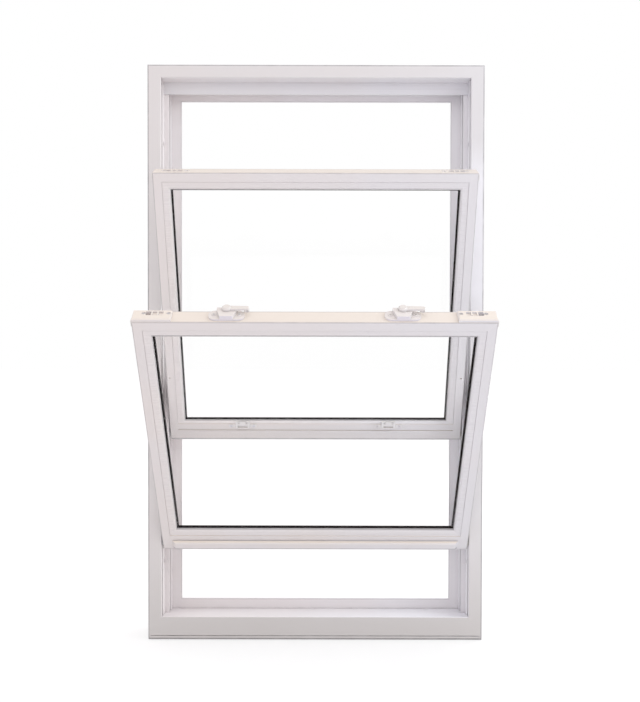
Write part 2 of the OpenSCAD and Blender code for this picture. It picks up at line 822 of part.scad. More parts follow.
module lower_stile_left() color(vinyl) lower_pose() stile(LEFT, lower_w, bottom_sight, lower_joint, 0);
module lower_stile_right() color(vinyl) lower_pose() stile(RIGHT, lower_w, bottom_sight, lower_joint, 0);
module lower_glazing_beads() color(bead_vinyl) lower_pose() glazing_beads(lower_w, bottom_sight, lower_joint);
module lower_pane_room() color(glass) lower_pose() pane(lower_w, bottom_sight, glass_in);
module lower_pane_outside() color(glass) lower_pose() pane(lower_w, bottom_sight, leg_in - pane_t);
module lower_spacer() color(black) lower_pose() spacer(lower_w, bottom_sight, lower_spacer_sink);
module lower_setting_blocks() color(black) lower_pose() setting_blocks(lower_w, bottom_sight);
module lower_pivot_left() color(steel) lower_pose() pivot(LEFT, lower_w, jamb_face);
module lower_pivot_right() color(steel) lower_pose() pivot(RIGHT, lower_w, jamb_face);
module lower_latch_case_left() color(vinyl) lower_pose() latch_case(LEFT, lower_w, 0, latch_t, latch_soft);
module lower_latch_case_right() color(vinyl) lower_pose() latch_case(RIGHT, lower_w, 0, latch_t, latch_soft);
module lower_latch_bolt_left() color(nylon) lower_pose() latch_bolt(LEFT, lower_w, 0, latch_t);
module lower_latch_bolt_right() color(nylon) lower_pose() latch_bolt(RIGHT, lower_w, 0, latch_t);
module lock_base_left() color(vinyl) lower_pose() lock_base(LEFT);
module lock_base_right() color(vinyl) lower_pose() lock_base(RIGHT);
module lock_lever_left() color(vinyl) lower_pose() lock_lever(LEFT);
module lock_lever_right() color(vinyl) lower_pose() lock_lever(RIGHT);

module lower_screws() color(steel) lower_pose() for (side = SIDES) {
    for (x = [-lock_screw_x, lock_screw_x]) translate([side * lock_x + x, lock_screw_y, top_z + lock_flange])
        screw(screw_len, screw_r, screw_head_r);
    on_side(side) latch_screws_at(lower_w, 0, latch_t) screw(screw_len, screw_r, screw_head_r);
}

module lower_pile() color(pile_grey) lower_pose() pile(lower_w);

module lower_bottom_seal() color(black) lower_pose()
    translate([-lower_w / 2 + stile_sight, front_y + seal_in, foot_z - seal_h])
        cube([lower_w - 2 * stile_sight, seal_w, seal_h]);

// Upper sash, whose latches are let in flush with the top rail
meeting_joint = meeting_sight - meeting_bead;

module upper_top_rail() color(vinyl) upper_pose() top_rail(upper_w, flush_latch_t);

module upper_bottom_rail() color(vinyl) upper_pose() difference() {
    bottom_rail(upper_w, meeting_sight, meeting_joint);
    translate([-upper_w / 2 + stile_sight - rebate, front_y - over, foot_z + meeting_line])
        cube([upper_w - 2 * (stile_sight - rebate), base_line_d + over, base_line_h]);
    for (side = SIDES, x = [-keeper_screw_x, keeper_screw_x]) translate([side * lock_x, 0, foot_z])
        keeper_screw_at(x) translate([0, 0, -keeper_screw_len])
            cylinder(h = keeper_screw_len, r = keeper_screw_r + screw_gap);
}

module upper_stile(side) difference() {
    stile(side, upper_w, meeting_sight, meeting_joint, flush_latch_t);
    translate([side * (upper_w / 2 - vent_in), front_y - over, foot_z + vent_up])
        rotate([-90, 0, 0]) cylinder(h = vent_deep + over, r = vent_r);
}

module flush_case(side) latch_case(side, upper_w, flush_latch_t, flush_latch_t, flush_soft);
module flush_bolt(side) latch_bolt(side, upper_w, flush_latch_t, flush_latch_t);

module upper_stile_left() color(vinyl) upper_pose() upper_stile(LEFT);
module upper_stile_right() color(vinyl) upper_pose() upper_stile(RIGHT);
module upper_glazing_beads() color(bead_vinyl) upper_pose()
    glazing_beads(upper_w, meeting_sight, meeting_joint);
module upper_pane_room() color(glass) upper_pose() pane(upper_w, meeting_sight, glass_in);
module upper_pane_outside() color(glass) upper_pose() pane(upper_w, meeting_sight, leg_in - pane_t);
module upper_spacer() color(black) upper_pose() spacer(upper_w, meeting_sight, upper_spacer_sink);
module upper_setting_blocks() color(black) upper_pose() setting_blocks(upper_w, meeting_sight);
module upper_pivot_left() color(steel) upper_pose() pivot(LEFT, upper_w, track_w);
module upper_pivot_right() color(steel) upper_pose() pivot(RIGHT, upper_w, track_w);
module upper_latch_case_left() color(vinyl) upper_pose() flush_case(LEFT);
module upper_latch_case_right() color(vinyl) upper_pose() flush_case(RIGHT);
module upper_latch_bolt_left() color(nylon) upper_pose() flush_bolt(LEFT);
module upper_latch_bolt_right() color(nylon) upper_pose() flush_bolt(RIGHT);
module keeper_left() color(vinyl) upper_pose() keeper(LEFT);
module keeper_right() color(vinyl) upper_pose() keeper(RIGHT);

module upper_screws() color(steel) upper_pose() for (side = SIDES) {
    for (x = [-keeper_screw_x, keeper_screw_x]) translate([side * lock_x, 0, foot_z])
        keeper_screw_at(x) screw(keeper_screw_len, keeper_screw_r, keeper_head_r);
    on_side(side) latch_screws_at(upper_w, flush_latch_t, flush_latch_t)
        screw(screw_len, screw_r, screw_head_r);
}

module upper_pile() color(pile_grey) upper_pose() pile(upper_w);

frame_head();
frame_sill();
jamb_left();
jamb_right();
head_parting_stop();
lower_balance_left();
lower_balance_right();
upper_balance_left();
upper_balance_right();
balance_screws();
lower_shoe_left();
lower_shoe_right();
lower_rod_left();
lower_rod_right();
upper_shoe_left();
upper_shoe_right();
upper_rod_left();
upper_rod_right();
lower_top_rail();
lower_bottom_rail();
lower_stile_left();
lower_stile_right();
lower_glazing_beads();
lower_pane_room();
lower_pane_outside();
lower_spacer();
lower_setting_blocks();
lower_pivot_left();
lower_pivot_right();
lower_latch_case_left();
lower_latch_case_right();
lower_latch_bolt_left();
lower_latch_bolt_right();
lock_base_left();
lock_base_right();
lock_lever_left();
lock_lever_right();
lower_screws();
lower_pile();
lower_bottom_seal();
upper_top_rail();
upper_bottom_rail();
upper_stile_left();
upper_stile_right();
upper_glazing_beads();
upper_pane_room();
upper_pane_outside();
upper_spacer();
upper_setting_blocks();
upper_pivot_left();
upper_pivot_right();
upper_latch_case_left();
upper_latch_case_right();
upper_latch_bolt_left();
upper_latch_bolt_right();
keeper_left();
keeper_right();
upper_screws();
upper_pile();
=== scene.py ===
# %% [markdown]
# # A tilt-in sash window
#
# The object is a white vinyl double-hung window in its frame. Both sashes are slid part of the way
# and tilted into the room. The solids come from the CAD model as a fixed frame, so this lesson never
# moves them: it gives each one its finish, and adds the soft and fine pieces that a solid can't show,
# such as the pile strips, the bulb seal and the cross recesses of the screws.

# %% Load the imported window
import math
import random

import bpy
from mathutils import Matrix, Vector


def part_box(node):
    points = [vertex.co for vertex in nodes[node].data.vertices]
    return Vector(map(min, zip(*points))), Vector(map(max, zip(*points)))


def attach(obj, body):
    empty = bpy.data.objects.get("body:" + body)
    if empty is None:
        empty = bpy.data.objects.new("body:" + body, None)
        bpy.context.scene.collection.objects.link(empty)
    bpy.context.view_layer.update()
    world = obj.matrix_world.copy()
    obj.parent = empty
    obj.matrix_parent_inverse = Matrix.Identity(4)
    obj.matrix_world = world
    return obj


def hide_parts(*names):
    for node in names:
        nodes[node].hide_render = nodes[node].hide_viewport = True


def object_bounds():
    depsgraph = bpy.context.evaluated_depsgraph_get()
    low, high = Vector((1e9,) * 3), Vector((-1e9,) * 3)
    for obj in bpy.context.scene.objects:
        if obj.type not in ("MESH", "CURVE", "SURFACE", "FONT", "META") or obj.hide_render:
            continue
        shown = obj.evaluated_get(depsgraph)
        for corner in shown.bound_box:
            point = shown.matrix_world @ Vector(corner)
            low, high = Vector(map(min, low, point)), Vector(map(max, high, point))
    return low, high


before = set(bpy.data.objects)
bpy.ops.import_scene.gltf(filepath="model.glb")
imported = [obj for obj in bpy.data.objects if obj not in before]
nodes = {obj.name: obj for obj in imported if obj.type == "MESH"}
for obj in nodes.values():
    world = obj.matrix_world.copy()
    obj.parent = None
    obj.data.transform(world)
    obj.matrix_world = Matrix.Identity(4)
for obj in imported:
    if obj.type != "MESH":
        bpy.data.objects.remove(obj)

cad_low, cad_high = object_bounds()
scene = bpy.context.scene
scene.view_settings.view_transform = "Standard"
MM = 0.001
print("solids:", len(nodes), "box in mm:", [round(v / MM) for v in cad_high - cad_low])

# %% [markdown]
# ## Camera
#
# The window was seen from about two metres away, almost square on, with the lens a little under its
# middle. A camera could be placed by eye, but the corners of the frame and of both sashes have known
# places in the CAD model, so the camera here was solved from them. The sensor is fitted to the
# height of an upright image of 640 by 702.

# %% Make the camera
IMAGE_H = 702
FOCAL_PX = 905.0
SENSOR_MM = 36.0
CAMERA_AT = Vector((0.0094, -1.9615, 0.654))
LOOK_DOWN = math.radians(-1.13)
CAMERA_ROLL = math.radians(-0.12)

camera_data = bpy.data.cameras.new("window_camera")
camera_data.sensor_fit = "VERTICAL"
camera_data.sensor_height = SENSOR_MM
camera_data.lens = FOCAL_PX / IMAGE_H * SENSOR_MM
camera = bpy.data.objects.new("window_camera", camera_data)
scene.collection.objects.link(camera)
level = Matrix.Rotation(math.radians(90), 4, "X")
turn = Matrix.Rotation(LOOK_DOWN, 4, "X") @ Matrix.Rotation(CAMERA_ROLL, 4, "Y")
camera.matrix_world = Matrix.Translation(CAMERA_AT) @ turn @ level
scene.camera = camera
print("lens in mm:", round(camera_data.lens, 2))

# %% [markdown]
# ## Helpers for shader nodes
#
# Every finish below is a small network of nodes. Writing each link by hand makes long cells, so a few
# short helpers do the typing: `feed` puts either a link or a plain value into a socket, `maths` and
# `blend_colours` join values and colours, `stretch_range` maps one span of values onto another, and
# `split_arrow` takes a vector apart. `own_place` is the place on the piece itself, in metres.

# %% Shader helpers
def feed(tree, value, socket):
    if isinstance(value, bpy.types.NodeSocket):
        tree.links.new(value, socket)
    else:
        socket.default_value = value


def maths(tree, how, *values):
    node = tree.nodes.new("ShaderNodeMath")
    node.operation = how
    for value, socket in zip(values, node.inputs):
        feed(tree, value, socket)
    return node.outputs[0]


def blend_colours(tree, amount, first, second):
    node = tree.nodes.new("ShaderNodeMix")
    node.data_type = "RGBA"
    feed(tree, amount, node.inputs[0])
    feed(tree, first, node.inputs[6])
    feed(tree, second, node.inputs[7])
    return node.outputs[2]


def stretch_range(tree, value, low, high, to_low=0.0, to_high=1.0):
    node = tree.nodes.new("ShaderNodeMapRange")
    for place, number in enumerate((value, low, high, to_low, to_high)):
        feed(tree, number, node.inputs[place])
    return node.outputs[0]


def noise(tree, place, scale, detail=2.0):
    node = tree.nodes.new("ShaderNodeTexNoise")
    tree.links.new(place, node.inputs["Vector"])
    feed(tree, scale, node.inputs["Scale"])
    node.inputs["Detail"].default_value = detail
    return node.outputs["Fac"]


def own_place(tree):
    return tree.nodes.new("ShaderNodeTexCoord").outputs["Object"]


def split_arrow(tree, arrow):
    node = tree.nodes.new("ShaderNodeSeparateXYZ")
    tree.links.new(arrow, node.inputs[0])
    return node.outputs


def opaque(colour):
    return (*colour, 1.0)


def choose_shader(tree, amount, first, second):
    node = tree.nodes.new("ShaderNodeMixShader")
    tree.links.new(amount, node.inputs[0])
    tree.links.new(first.outputs[0], node.inputs[1])
    tree.links.new(second.outputs[0], node.inputs[2])
    return node.outputs[0]


# %% [markdown]
# ## Studio
#
# The window stands on a plain pale floor in an even white surround. The surround could be a lit
# backdrop, but that would also light the window from behind. Instead the world shows plain white to
# the camera, to reflections and to what is seen through glass, and gives only a soft, weaker light
# to surfaces. The floor does the same, but half of its tone comes from the lamps, so that it keeps
# the window's shadow.

# %% White surround
SURROUND_LIGHT = 0.97
SURROUND_TINT = (1.0, 0.972, 0.982)
WHITE = (1.0, 1.0, 1.0)


def seen_directly(tree):
    path = tree.nodes.new("ShaderNodeLightPath").outputs
    either = maths(tree, "MAXIMUM", path["Is Camera Ray"], path["Is Glossy Ray"])
    return maths(tree, "MAXIMUM", either, path["Is Transmission Ray"])


def background(tree, colour, strength):
    node = tree.nodes.new("ShaderNodeBackground")
    node.inputs["Color"].default_value = opaque(colour)
    node.inputs["Strength"].default_value = strength
    return node


world = bpy.data.worlds.new("white_surround")
world.use_nodes = True
scene.world = world
sky = world.node_tree
sky.nodes.clear()
lighting, shown = background(sky, SURROUND_TINT, SURROUND_LIGHT), background(sky, WHITE, 1.0)
surround = choose_shader(sky, seen_directly(sky), lighting, shown)
sky.links.new(surround, sky.nodes.new("ShaderNodeOutputWorld").inputs["Surface"])
print("surround light:", SURROUND_LIGHT)

# %% Pale floor
FLOOR_HALF, FLOOR_DROP = 14.0, 0.0003
FLOOR_BOUNCE, FLOOR_SHADED, FLOOR_GLOW = 0.75, 0.50, 0.56


def matt_grey(tree, tone):
    node = tree.nodes.new("ShaderNodeBsdfDiffuse")
    node.inputs["Color"].default_value = opaque((tone, tone, tone))
    return node


floor_mesh = bpy.data.meshes.new("pale_floor")
span = (-FLOOR_HALF, FLOOR_HALF)
floor_mesh.from_pydata(
    [(x, y, -FLOOR_DROP) for y in span for x in span], [], [(0, 1, 3, 2)])
floor = bpy.data.objects.new("pale_floor", floor_mesh)
scene.collection.objects.link(floor)

floor_paint = bpy.data.materials.new("pale_floor")
floor_paint.use_nodes = True
paint = floor_paint.node_tree
paint.nodes.clear()
glow = paint.nodes.new("ShaderNodeEmission")
glow.inputs["Color"].default_value = opaque(WHITE)
glow.inputs["Strength"].default_value = FLOOR_GLOW
lit = paint.nodes.new("ShaderNodeAddShader")
paint.links.new(matt_grey(paint, FLOOR_SHADED).outputs[0], lit.inputs[0])
paint.links.new(glow.outputs[0], lit.inputs[1])
coat = choose_shader(paint, seen_directly(paint), matt_grey(paint, FLOOR_BOUNCE), lit)
paint.links.new(coat, paint.nodes.new("ShaderNodeOutputMaterial").inputs["Surface"])
floor_mesh.materials.append(floor_paint)
print("floor:", 2 * FLOOR_HALF, "m square")

# %% [markdown]
# ## Lamps
#
# The white surround gives most of the light, and it comes from every side. Three large soft lamps
# only shape it: a cool one from the right makes the right-hand faces brighter than the left ones, a
# warm one low in front lifts the faces that look down into the room, and a white one behind the
# window puts light on the inner walls of the frame.

# %% Place the lamps
AIM = Vector((0.0, 0.0, 0.65))
LAMPS = {
    "side_right": ((2.2, -0.9, 1.6), 1.2, 14.0, (0.86, 0.97, 1.0)),
    "low_front": ((0.3, -2.4, 0.30), 1.4, 5.5, (1.0, 0.88, 0.94)),
    "back_right": ((1.6, 1.9, 0.6), 1.2, 16.0, (1.0, 1.0, 1.0)),
}
for name, (place, size, watts, tint) in LAMPS.items():
    lamp_data = bpy.data.lights.new(name, "AREA")
    lamp_data.shape = "DISK"
    lamp_data.size = size
    lamp_data.energy = watts
    lamp_data.color = tint
    lamp = bpy.data.objects.new(name, lamp_data)
    lamp.location = place
    lamp.rotation_euler = (AIM - Vector(place)).to_track_quat("-Z", "Y").to_euler()
    scene.collection.objects.link(lamp)
print("lamps:", ", ".join(LAMPS))

# %% [markdown]
# ## Shared effects
#
# White plastic is never one flat white. The effects that turn up in several finishes are built once
# as node groups and placed with their own values. They read the place on the piece itself, so they
# move with it and look the same from every side. A tilted sash first has its tilt undone about its
# pivot line, so that its lines run along its own members.

# %% Where the sashes lean
LOWER_TILT, UPPER_TILT = math.radians(34.4), math.radians(22.1)
LOWER_PIVOT, UPPER_PIVOT = Vector((0.0, -0.032, 0.2055)), Vector((0.0, 0.011, 0.435))
SASHES = ("lower", "upper")
LEANS = {
    "frame": (Vector(), 0.0),
    "lower": (LOWER_PIVOT, LOWER_TILT),
    "upper": (UPPER_PIVOT, UPPER_TILT),
}
print("tilts in degrees:", {part: round(math.degrees(tilt), 1) for part, (_, tilt) in LEANS.items()})

# %% Start a node group
def start_effect(name, inputs, outputs):
    tree = bpy.data.node_groups.new(name, "ShaderNodeTree")
    for label, kind, value in inputs:
        socket = tree.interface.new_socket(name=label, in_out="INPUT", socket_type=kind)
        socket.default_value = value
    for label, kind in outputs:
        tree.interface.new_socket(name=label, in_out="OUTPUT", socket_type=kind)
    entry = tree.nodes.new("NodeGroupInput").outputs
    leave = tree.nodes.new("NodeGroupOutput").inputs
    return tree, entry, leave


def place_effect(tree, effect, values):
    node = tree.nodes.new("ShaderNodeGroup")
    node.node_tree = effect
    for label, value in values.items():
        feed(tree, value, node.inputs[label])
    return node.outputs


def upright_place(tree, tilt, pivot=None):
    untilt = tree.nodes.new("ShaderNodeVectorRotate")
    untilt.rotation_type = "X_AXIS"
    tree.links.new(own_place(tree), untilt.inputs["Vector"])
    tree.links.new(maths(tree, "MULTIPLY", tilt, -1.0), untilt.inputs["Angle"])
    if pivot is not None:
        tree.links.new(pivot, untilt.inputs["Center"])
    return untilt.outputs[0]


NUMBER, COLOUR, ARROW = "NodeSocketFloat", "NodeSocketColor", "NodeSocketVector"
PLAIN_GREY = opaque((0.8, 0.8, 0.8))

# %% [markdown]
# ## Tone, drawn lines, rubbed edges, corner dust, and painted highlight and shade
#
# Vinyl yellows and fades unevenly, and the die leaves fine lines along an extruded profile. Hands rub
# its edges bright, and a painted highlight brightens them further; dust stays in its corners, with
# painted shade that darkens them where they are closed in. The drift of tone is a slow noise over the
# width of the window. The lines are a noise that is stretched far along the profile. An edge is found
# by comparing the surface with a rounded copy of it, and a corner by how much of it is closed in.

# %% Tone drift and drawn lines
NOISE_LOW, NOISE_HIGH = 0.3, 0.7


def spread_noise(tree, value, low, high):
    """Noise stays near its middle, so only that span is drawn out."""
    return stretch_range(tree, value, NOISE_LOW, NOISE_HIGH, low, high)


tone_drift, entry, leave = start_effect(
    "tone_drift",
    [("Left", COLOUR, PLAIN_GREY), ("Right", COLOUR, PLAIN_GREY), ("Half Width", NUMBER, 0.3),
     ("Patches", NUMBER, 6.0)],
    [("Color", COLOUR)])
place = own_place(tone_drift)
across = maths(tone_drift, "DIVIDE", split_arrow(tone_drift, place)["X"], entry["Half Width"])
cloud = noise(tone_drift, place, entry["Patches"])
wander = spread_noise(tone_drift, cloud, -0.5, 0.5)
side_part = stretch_range(tone_drift, maths(tone_drift, "ADD", across, wander), -1.0, 1.0)
feed(tone_drift, blend_colours(tone_drift, side_part, entry["Left"], entry["Right"]), leave["Color"])

drawn_lines, entry, leave = start_effect(
    "drawn_lines",
    [("Tilt", NUMBER, 0.0), ("Fineness", ARROW, (2.0, 700.0, 700.0))],
    [("Height", NUMBER)])
scaled = drawn_lines.nodes.new("ShaderNodeVectorMath")
scaled.operation = "MULTIPLY"
drawn_lines.links.new(upright_place(drawn_lines, entry["Tilt"]), scaled.inputs[0])
drawn_lines.links.new(entry["Fineness"], scaled.inputs[1])
feed(drawn_lines, noise(drawn_lines, scaled.outputs[0], 1.0, detail=3.0), leave["Height"])
print("made:", tone_drift.name, drawn_lines.name)

# %% Rubbed edges with a painted highlight
RUB_HIGHLIGHT_GRAIN = 160.0
BEND_FAINT, BEND_FULL = 0.02, 0.25


def along_normal(tree, arrow):
    node = tree.nodes.new("ShaderNodeVectorMath")
    node.operation = "DOT_PRODUCT"
    tree.links.new(tree.nodes.new("ShaderNodeNewGeometry").outputs["Normal"], node.inputs[0])
    tree.links.new(arrow, node.inputs[1])
    return node.outputs["Value"]


# Painted highlight: this mask lays a light colour along edges, partly rubbed wear and partly a painted
# highlight.
rub_and_highlight_edges, entry, leave = start_effect(
    "rub_and_highlight_edges", [("Width", NUMBER, 0.0015)], [("Mask", NUMBER)])
round_over = rub_and_highlight_edges.nodes.new("ShaderNodeBevel")
round_over.samples = 4
rub_and_highlight_edges.links.new(entry["Width"], round_over.inputs["Radius"])
bent = maths(rub_and_highlight_edges, "SUBTRACT", 1.0, along_normal(rub_and_highlight_edges, round_over.outputs[0]))
sharp = stretch_range(rub_and_highlight_edges, bent, BEND_FAINT, BEND_FULL)
broken = spread_noise(rub_and_highlight_edges, noise(rub_and_highlight_edges, own_place(rub_and_highlight_edges), RUB_HIGHLIGHT_GRAIN), 0.35, 1.0)
feed(rub_and_highlight_edges, maths(rub_and_highlight_edges, "MULTIPLY", sharp, broken), leave["Mask"])
print("made:", rub_and_highlight_edges.name)

# %% Dusty corners with painted shade, and a moulded skin
CORNER_GRAIN = 45.0
# Painted shade: corners that are closed in get a grey that is partly dust and partly painted shade.
corner_dust_and_shade, entry, leave = start_effect(
    "corner_dust_and_shade", [("Reach", NUMBER, 0.012)], [("Mask", NUMBER)])
closeness = corner_dust_and_shade.nodes.new("ShaderNodeAmbientOcclusion")
closeness.samples = 6
corner_dust_and_shade.links.new(entry["Reach"], closeness.inputs["Distance"])
closed_in = maths(corner_dust_and_shade, "SUBTRACT", 1.0, closeness.outputs["AO"])
cloud = noise(corner_dust_and_shade, own_place(corner_dust_and_shade), CORNER_GRAIN, detail=4.0)
part_amount = stretch_range(corner_dust_and_shade, cloud, 0.3, 0.75, 0.3, 1.0)
feed(corner_dust_and_shade, maths(corner_dust_and_shade, "MULTIPLY", closed_in, part_amount), leave["Mask"])

moulded_grain, entry, leave = start_effect(
    "moulded_grain", [("Fineness", NUMBER, 900.0)], [("Height", NUMBER)])
pimples = noise(moulded_grain, own_place(moulded_grain), entry["Fineness"], detail=3.0)
feed(moulded_grain, pimples, leave["Height"])
print("made:", corner_dust_and_shade.name, moulded_grain.name)

# %% [markdown]
# ## Painted shade, weather and lines of painted shade and grime
#
# The faces that look into the room carry painted shade: a grey film that darkens them against the
# inner walls, darker towards the foot, and lifted by a painted patch of light at mid-height on the
# right. The outside and the flanks are weathered in streaks. A dark line of painted shade, with some
# grime, follows outer edges and the opening. One could paint all this on an image; masks from
# direction and place do it here, and they stay sharp at any size.

# %% Faces that look one way
FACING_FAINT, FACING_FULL = 0.45, 0.85
facing_mask, entry, leave = start_effect(
    "facing_mask", [("Toward", ARROW, (0.0, 0.0, 1.0))], [("Mask", NUMBER)])
square_on = along_normal(facing_mask, entry["Toward"])
feed(facing_mask, stretch_range(facing_mask, square_on, FACING_FAINT, FACING_FULL), leave["Mask"])


def facing(tree, *toward):
    return place_effect(tree, facing_mask, {"Toward": toward})["Mask"]


print("made:", facing_mask.name)

# %% Painted shade on the faces that look into the room
STEP_BACK = 0.01
LIT_PATCH_FADE = 1.7
LIT_PATCH_FROM, LIT_PATCH_TO = 0.30, 0.33
# Painted shade on room faces, darker towards the foot, with a painted patch of light on the right.
room_face_shade, entry, leave = start_effect(
    "room_face_shade",
    [("Face", NUMBER, 0.48), ("Rear Share", NUMBER, 0.5), ("Front", NUMBER, -0.04),
     ("Foot", NUMBER, 0.46), ("Foot Low", NUMBER, 0.02), ("Foot High", NUMBER, 0.30),
     ("Lit Patch", NUMBER, 0.0), ("Lit Patch Height", NUMBER, 0.86), ("Lit Patch Half", NUMBER, 0.12)],
    [("Mask", NUMBER)])
place = split_arrow(room_face_shade, own_place(room_face_shade))
behind = maths(room_face_shade, "ADD", entry["Front"], STEP_BACK)
shared = stretch_range(room_face_shade, place["Y"], entry["Front"], behind, 1.0, entry["Rear Share"])
low_down = stretch_range(room_face_shade, place["Z"], entry["Foot Low"], entry["Foot High"], 1.0, 0.0)
away = maths(room_face_shade, "ABSOLUTE", maths(room_face_shade, "SUBTRACT", place["Z"], entry["Lit Patch Height"]))
fade = maths(room_face_shade, "MULTIPLY", entry["Lit Patch Half"], LIT_PATCH_FADE)
along = stretch_range(room_face_shade, away, entry["Lit Patch Half"], fade, 1.0, 0.0)
on_right = stretch_range(room_face_shade, place["X"], LIT_PATCH_FROM, LIT_PATCH_TO)
lit_patch = maths(room_face_shade, "MULTIPLY", maths(room_face_shade, "MULTIPLY", along, on_right), entry["Lit Patch"])
part_amount = maths(room_face_shade, "SUBTRACT", entry["Face"], lit_patch)
shaded_foot = maths(room_face_shade, "MULTIPLY", low_down, entry["Foot"])
amount = maths(room_face_shade, "MULTIPLY", maths(room_face_shade, "ADD", part_amount, shaded_foot), shared)
feed(room_face_shade, maths(room_face_shade, "MULTIPLY", amount, facing(room_face_shade, 0.0, -1.0, 0.0)), leave["Mask"])
print("made:", room_face_shade.name)

# %% Weathering on the outside and the flanks
FLANK_FULL, FLANK_GONE = 0.001, 0.003
weathering, entry, leave = start_effect(
    "weathering",
    [("Half Width", NUMBER, 0.355), ("Outside", NUMBER, 1.0), ("Streaks", ARROW, (30.0, 30.0, 2.5))],
    [("Mask", NUMBER)])
outside = maths(weathering, "MULTIPLY", facing(weathering, 0.0, 1.0, 0.0), entry["Outside"])
sideways = maths(
    weathering, "MAXIMUM", facing(weathering, 1.0, 0.0, 0.0), facing(weathering, -1.0, 0.0, 0.0))
reach = maths(weathering, "ABSOLUTE", split_arrow(weathering, own_place(weathering))["X"])
from_edge = maths(weathering, "SUBTRACT", entry["Half Width"], reach)
at_edge = stretch_range(weathering, from_edge, FLANK_FULL, FLANK_GONE, 1.0, 0.0)
bare = maths(weathering, "MAXIMUM", outside, maths(weathering, "MULTIPLY", at_edge, sideways))
streaks = place_effect(weathering, drawn_lines, {"Tilt": 0.0, "Fineness": entry["Streaks"]})["Height"]
washed = spread_noise(weathering, streaks, 0.8, 1.0)
feed(weathering, maths(weathering, "MULTIPLY", bare, washed), leave["Mask"])
print("made:", weathering.name)

# %% Lines of painted shade and grime round an opening and along outer edges
LINE_PATCHES = 30.0
BOX_INPUTS = [
    ("Pivot", ARROW, (0.0, 0.0, 0.0)), ("Tilt", NUMBER, 0.0), ("Middle", ARROW, (0.0, 0.0, 0.6)),
    ("Half Size", ARROW, (0.35, 0.04, 0.6)), ("Width", NUMBER, 0.002)]


def past_box(tree, entry):
    """How far a place lies past each pair of sides of an upright box."""
    arrow = upright_place(tree, entry["Tilt"], entry["Pivot"])
    for how, other in (("SUBTRACT", "Middle"), ("ABSOLUTE", None), ("SUBTRACT", "Half Size")):
        step = tree.nodes.new("ShaderNodeVectorMath")
        step.operation = how
        tree.links.new(arrow, step.inputs[0])
        if other:
            tree.links.new(entry[other], step.inputs[1])
        arrow = step.outputs[0]
    return split_arrow(tree, arrow)


# Painted shade round an opening, with some grime.
opening_shade_and_grime, entry, leave = start_effect("opening_shade_and_grime", BOX_INPUTS, [("Mask", NUMBER)])
past = past_box(opening_shade_and_grime, entry)
outermost = maths(opening_shade_and_grime, "MAXIMUM", past["X"], past["Z"])
half_line = maths(opening_shade_and_grime, "MULTIPLY", entry["Width"], 0.5)
feed(opening_shade_and_grime, stretch_range(opening_shade_and_grime, outermost, half_line, entry["Width"], 1.0, 0.0), leave["Mask"])

# Painted shade along outer edges and feet, with some grime.
edge_shade_and_grime, entry, leave = start_effect("edge_shade_and_grime", BOX_INPUTS, [("Mask", NUMBER)])
inner = maths(edge_shade_and_grime, "MULTIPLY", entry["Width"], -1.0)
outer = maths(edge_shade_and_grime, "MULTIPLY", entry["Width"], -0.6)
near = [stretch_range(edge_shade_and_grime, side, inner, outer) for side in past_box(edge_shade_and_grime, entry)]
pairs = [maths(edge_shade_and_grime, "MULTIPLY", near[a], near[b]) for a, b in ((0, 1), (1, 2), (0, 2))]
edge = maths(edge_shade_and_grime, "MAXIMUM", maths(edge_shade_and_grime, "MAXIMUM", pairs[0], pairs[1]), pairs[2])
broken = spread_noise(edge_shade_and_grime, noise(edge_shade_and_grime, own_place(edge_shade_and_grime), LINE_PATCHES), 0.6, 1.0)
feed(edge_shade_and_grime, maths(edge_shade_and_grime, "MULTIPLY", edge, broken), leave["Mask"])
print("effects:", [g.name for g in bpy.data.node_groups])

# %% [markdown]
# ## White plastics
#
# The frame, the sashes and their beads are extruded vinyl with a satin skin; locks and latches are
# smoother, and the hidden shoes are moulded nylon. One function builds them all from the effects
# above. Only the numbers differ: the tone, how glossy the skin is, which way the profile was drawn,
# how much dust and painted shade sit in its corners, how much rubbing and painted highlight its edges
# show, and how much painted warm light, painted cool shade and painted shade lines it carries.

# %% Layers of colour
# The edge white is partly rubbed wear and partly a painted highlight; the corner grey is partly dust and
# partly painted shade in creases.
DUST_AND_SHADE_GREY, RUB_AND_HIGHLIGHT_WHITE = (0.36, 0.345, 0.33), (0.93, 0.925, 0.925)
# The room tone is painted shade on faces that look into the room, darkest near the foot.
ROOM_SHADE_TONE, WEATHER_GREY = (0.60, 0.575, 0.56), (0.55, 0.54, 0.525)
# The cream is painted warm light on upward faces, and the lavender painted cool shade on faces that look down
# into the room.
WARM_TOP_LIGHT, COOL_SHADE_LAVENDER = (0.88, 0.792, 0.695), (0.76, 0.735, 0.865)
# The edge grey is painted shade along edges, feet and openings, with some grime.
SHADE_AND_GRIME_GREY = (0.33, 0.32, 0.33)
WEATHERED = 0.9


def lay_over(tree, tone, colour, mask, amount=1.0):
    return blend_colours(tree, maths(tree, "MULTIPLY", mask, amount), tone, opaque(colour))


def weather_outside(tree, tone, half_width, outside):
    mask = place_effect(tree, weathering, {"Half Width": half_width, "Outside": outside})["Mask"]
    return lay_over(tree, tone, WEATHER_GREY, mask, WEATHERED)


# Lays lines of painted shade, with some grime.
def lay_shade_lines(tree, tone, effect, part, middle, half_size, width, amount):
    pivot, tilt = LEANS[part]
    mask = place_effect(tree, effect, {
        "Pivot": pivot, "Tilt": tilt, "Middle": middle, "Half Size": half_size, "Width": width})["Mask"]
    return lay_over(tree, tone, SHADE_AND_GRIME_GREY, mask, amount)


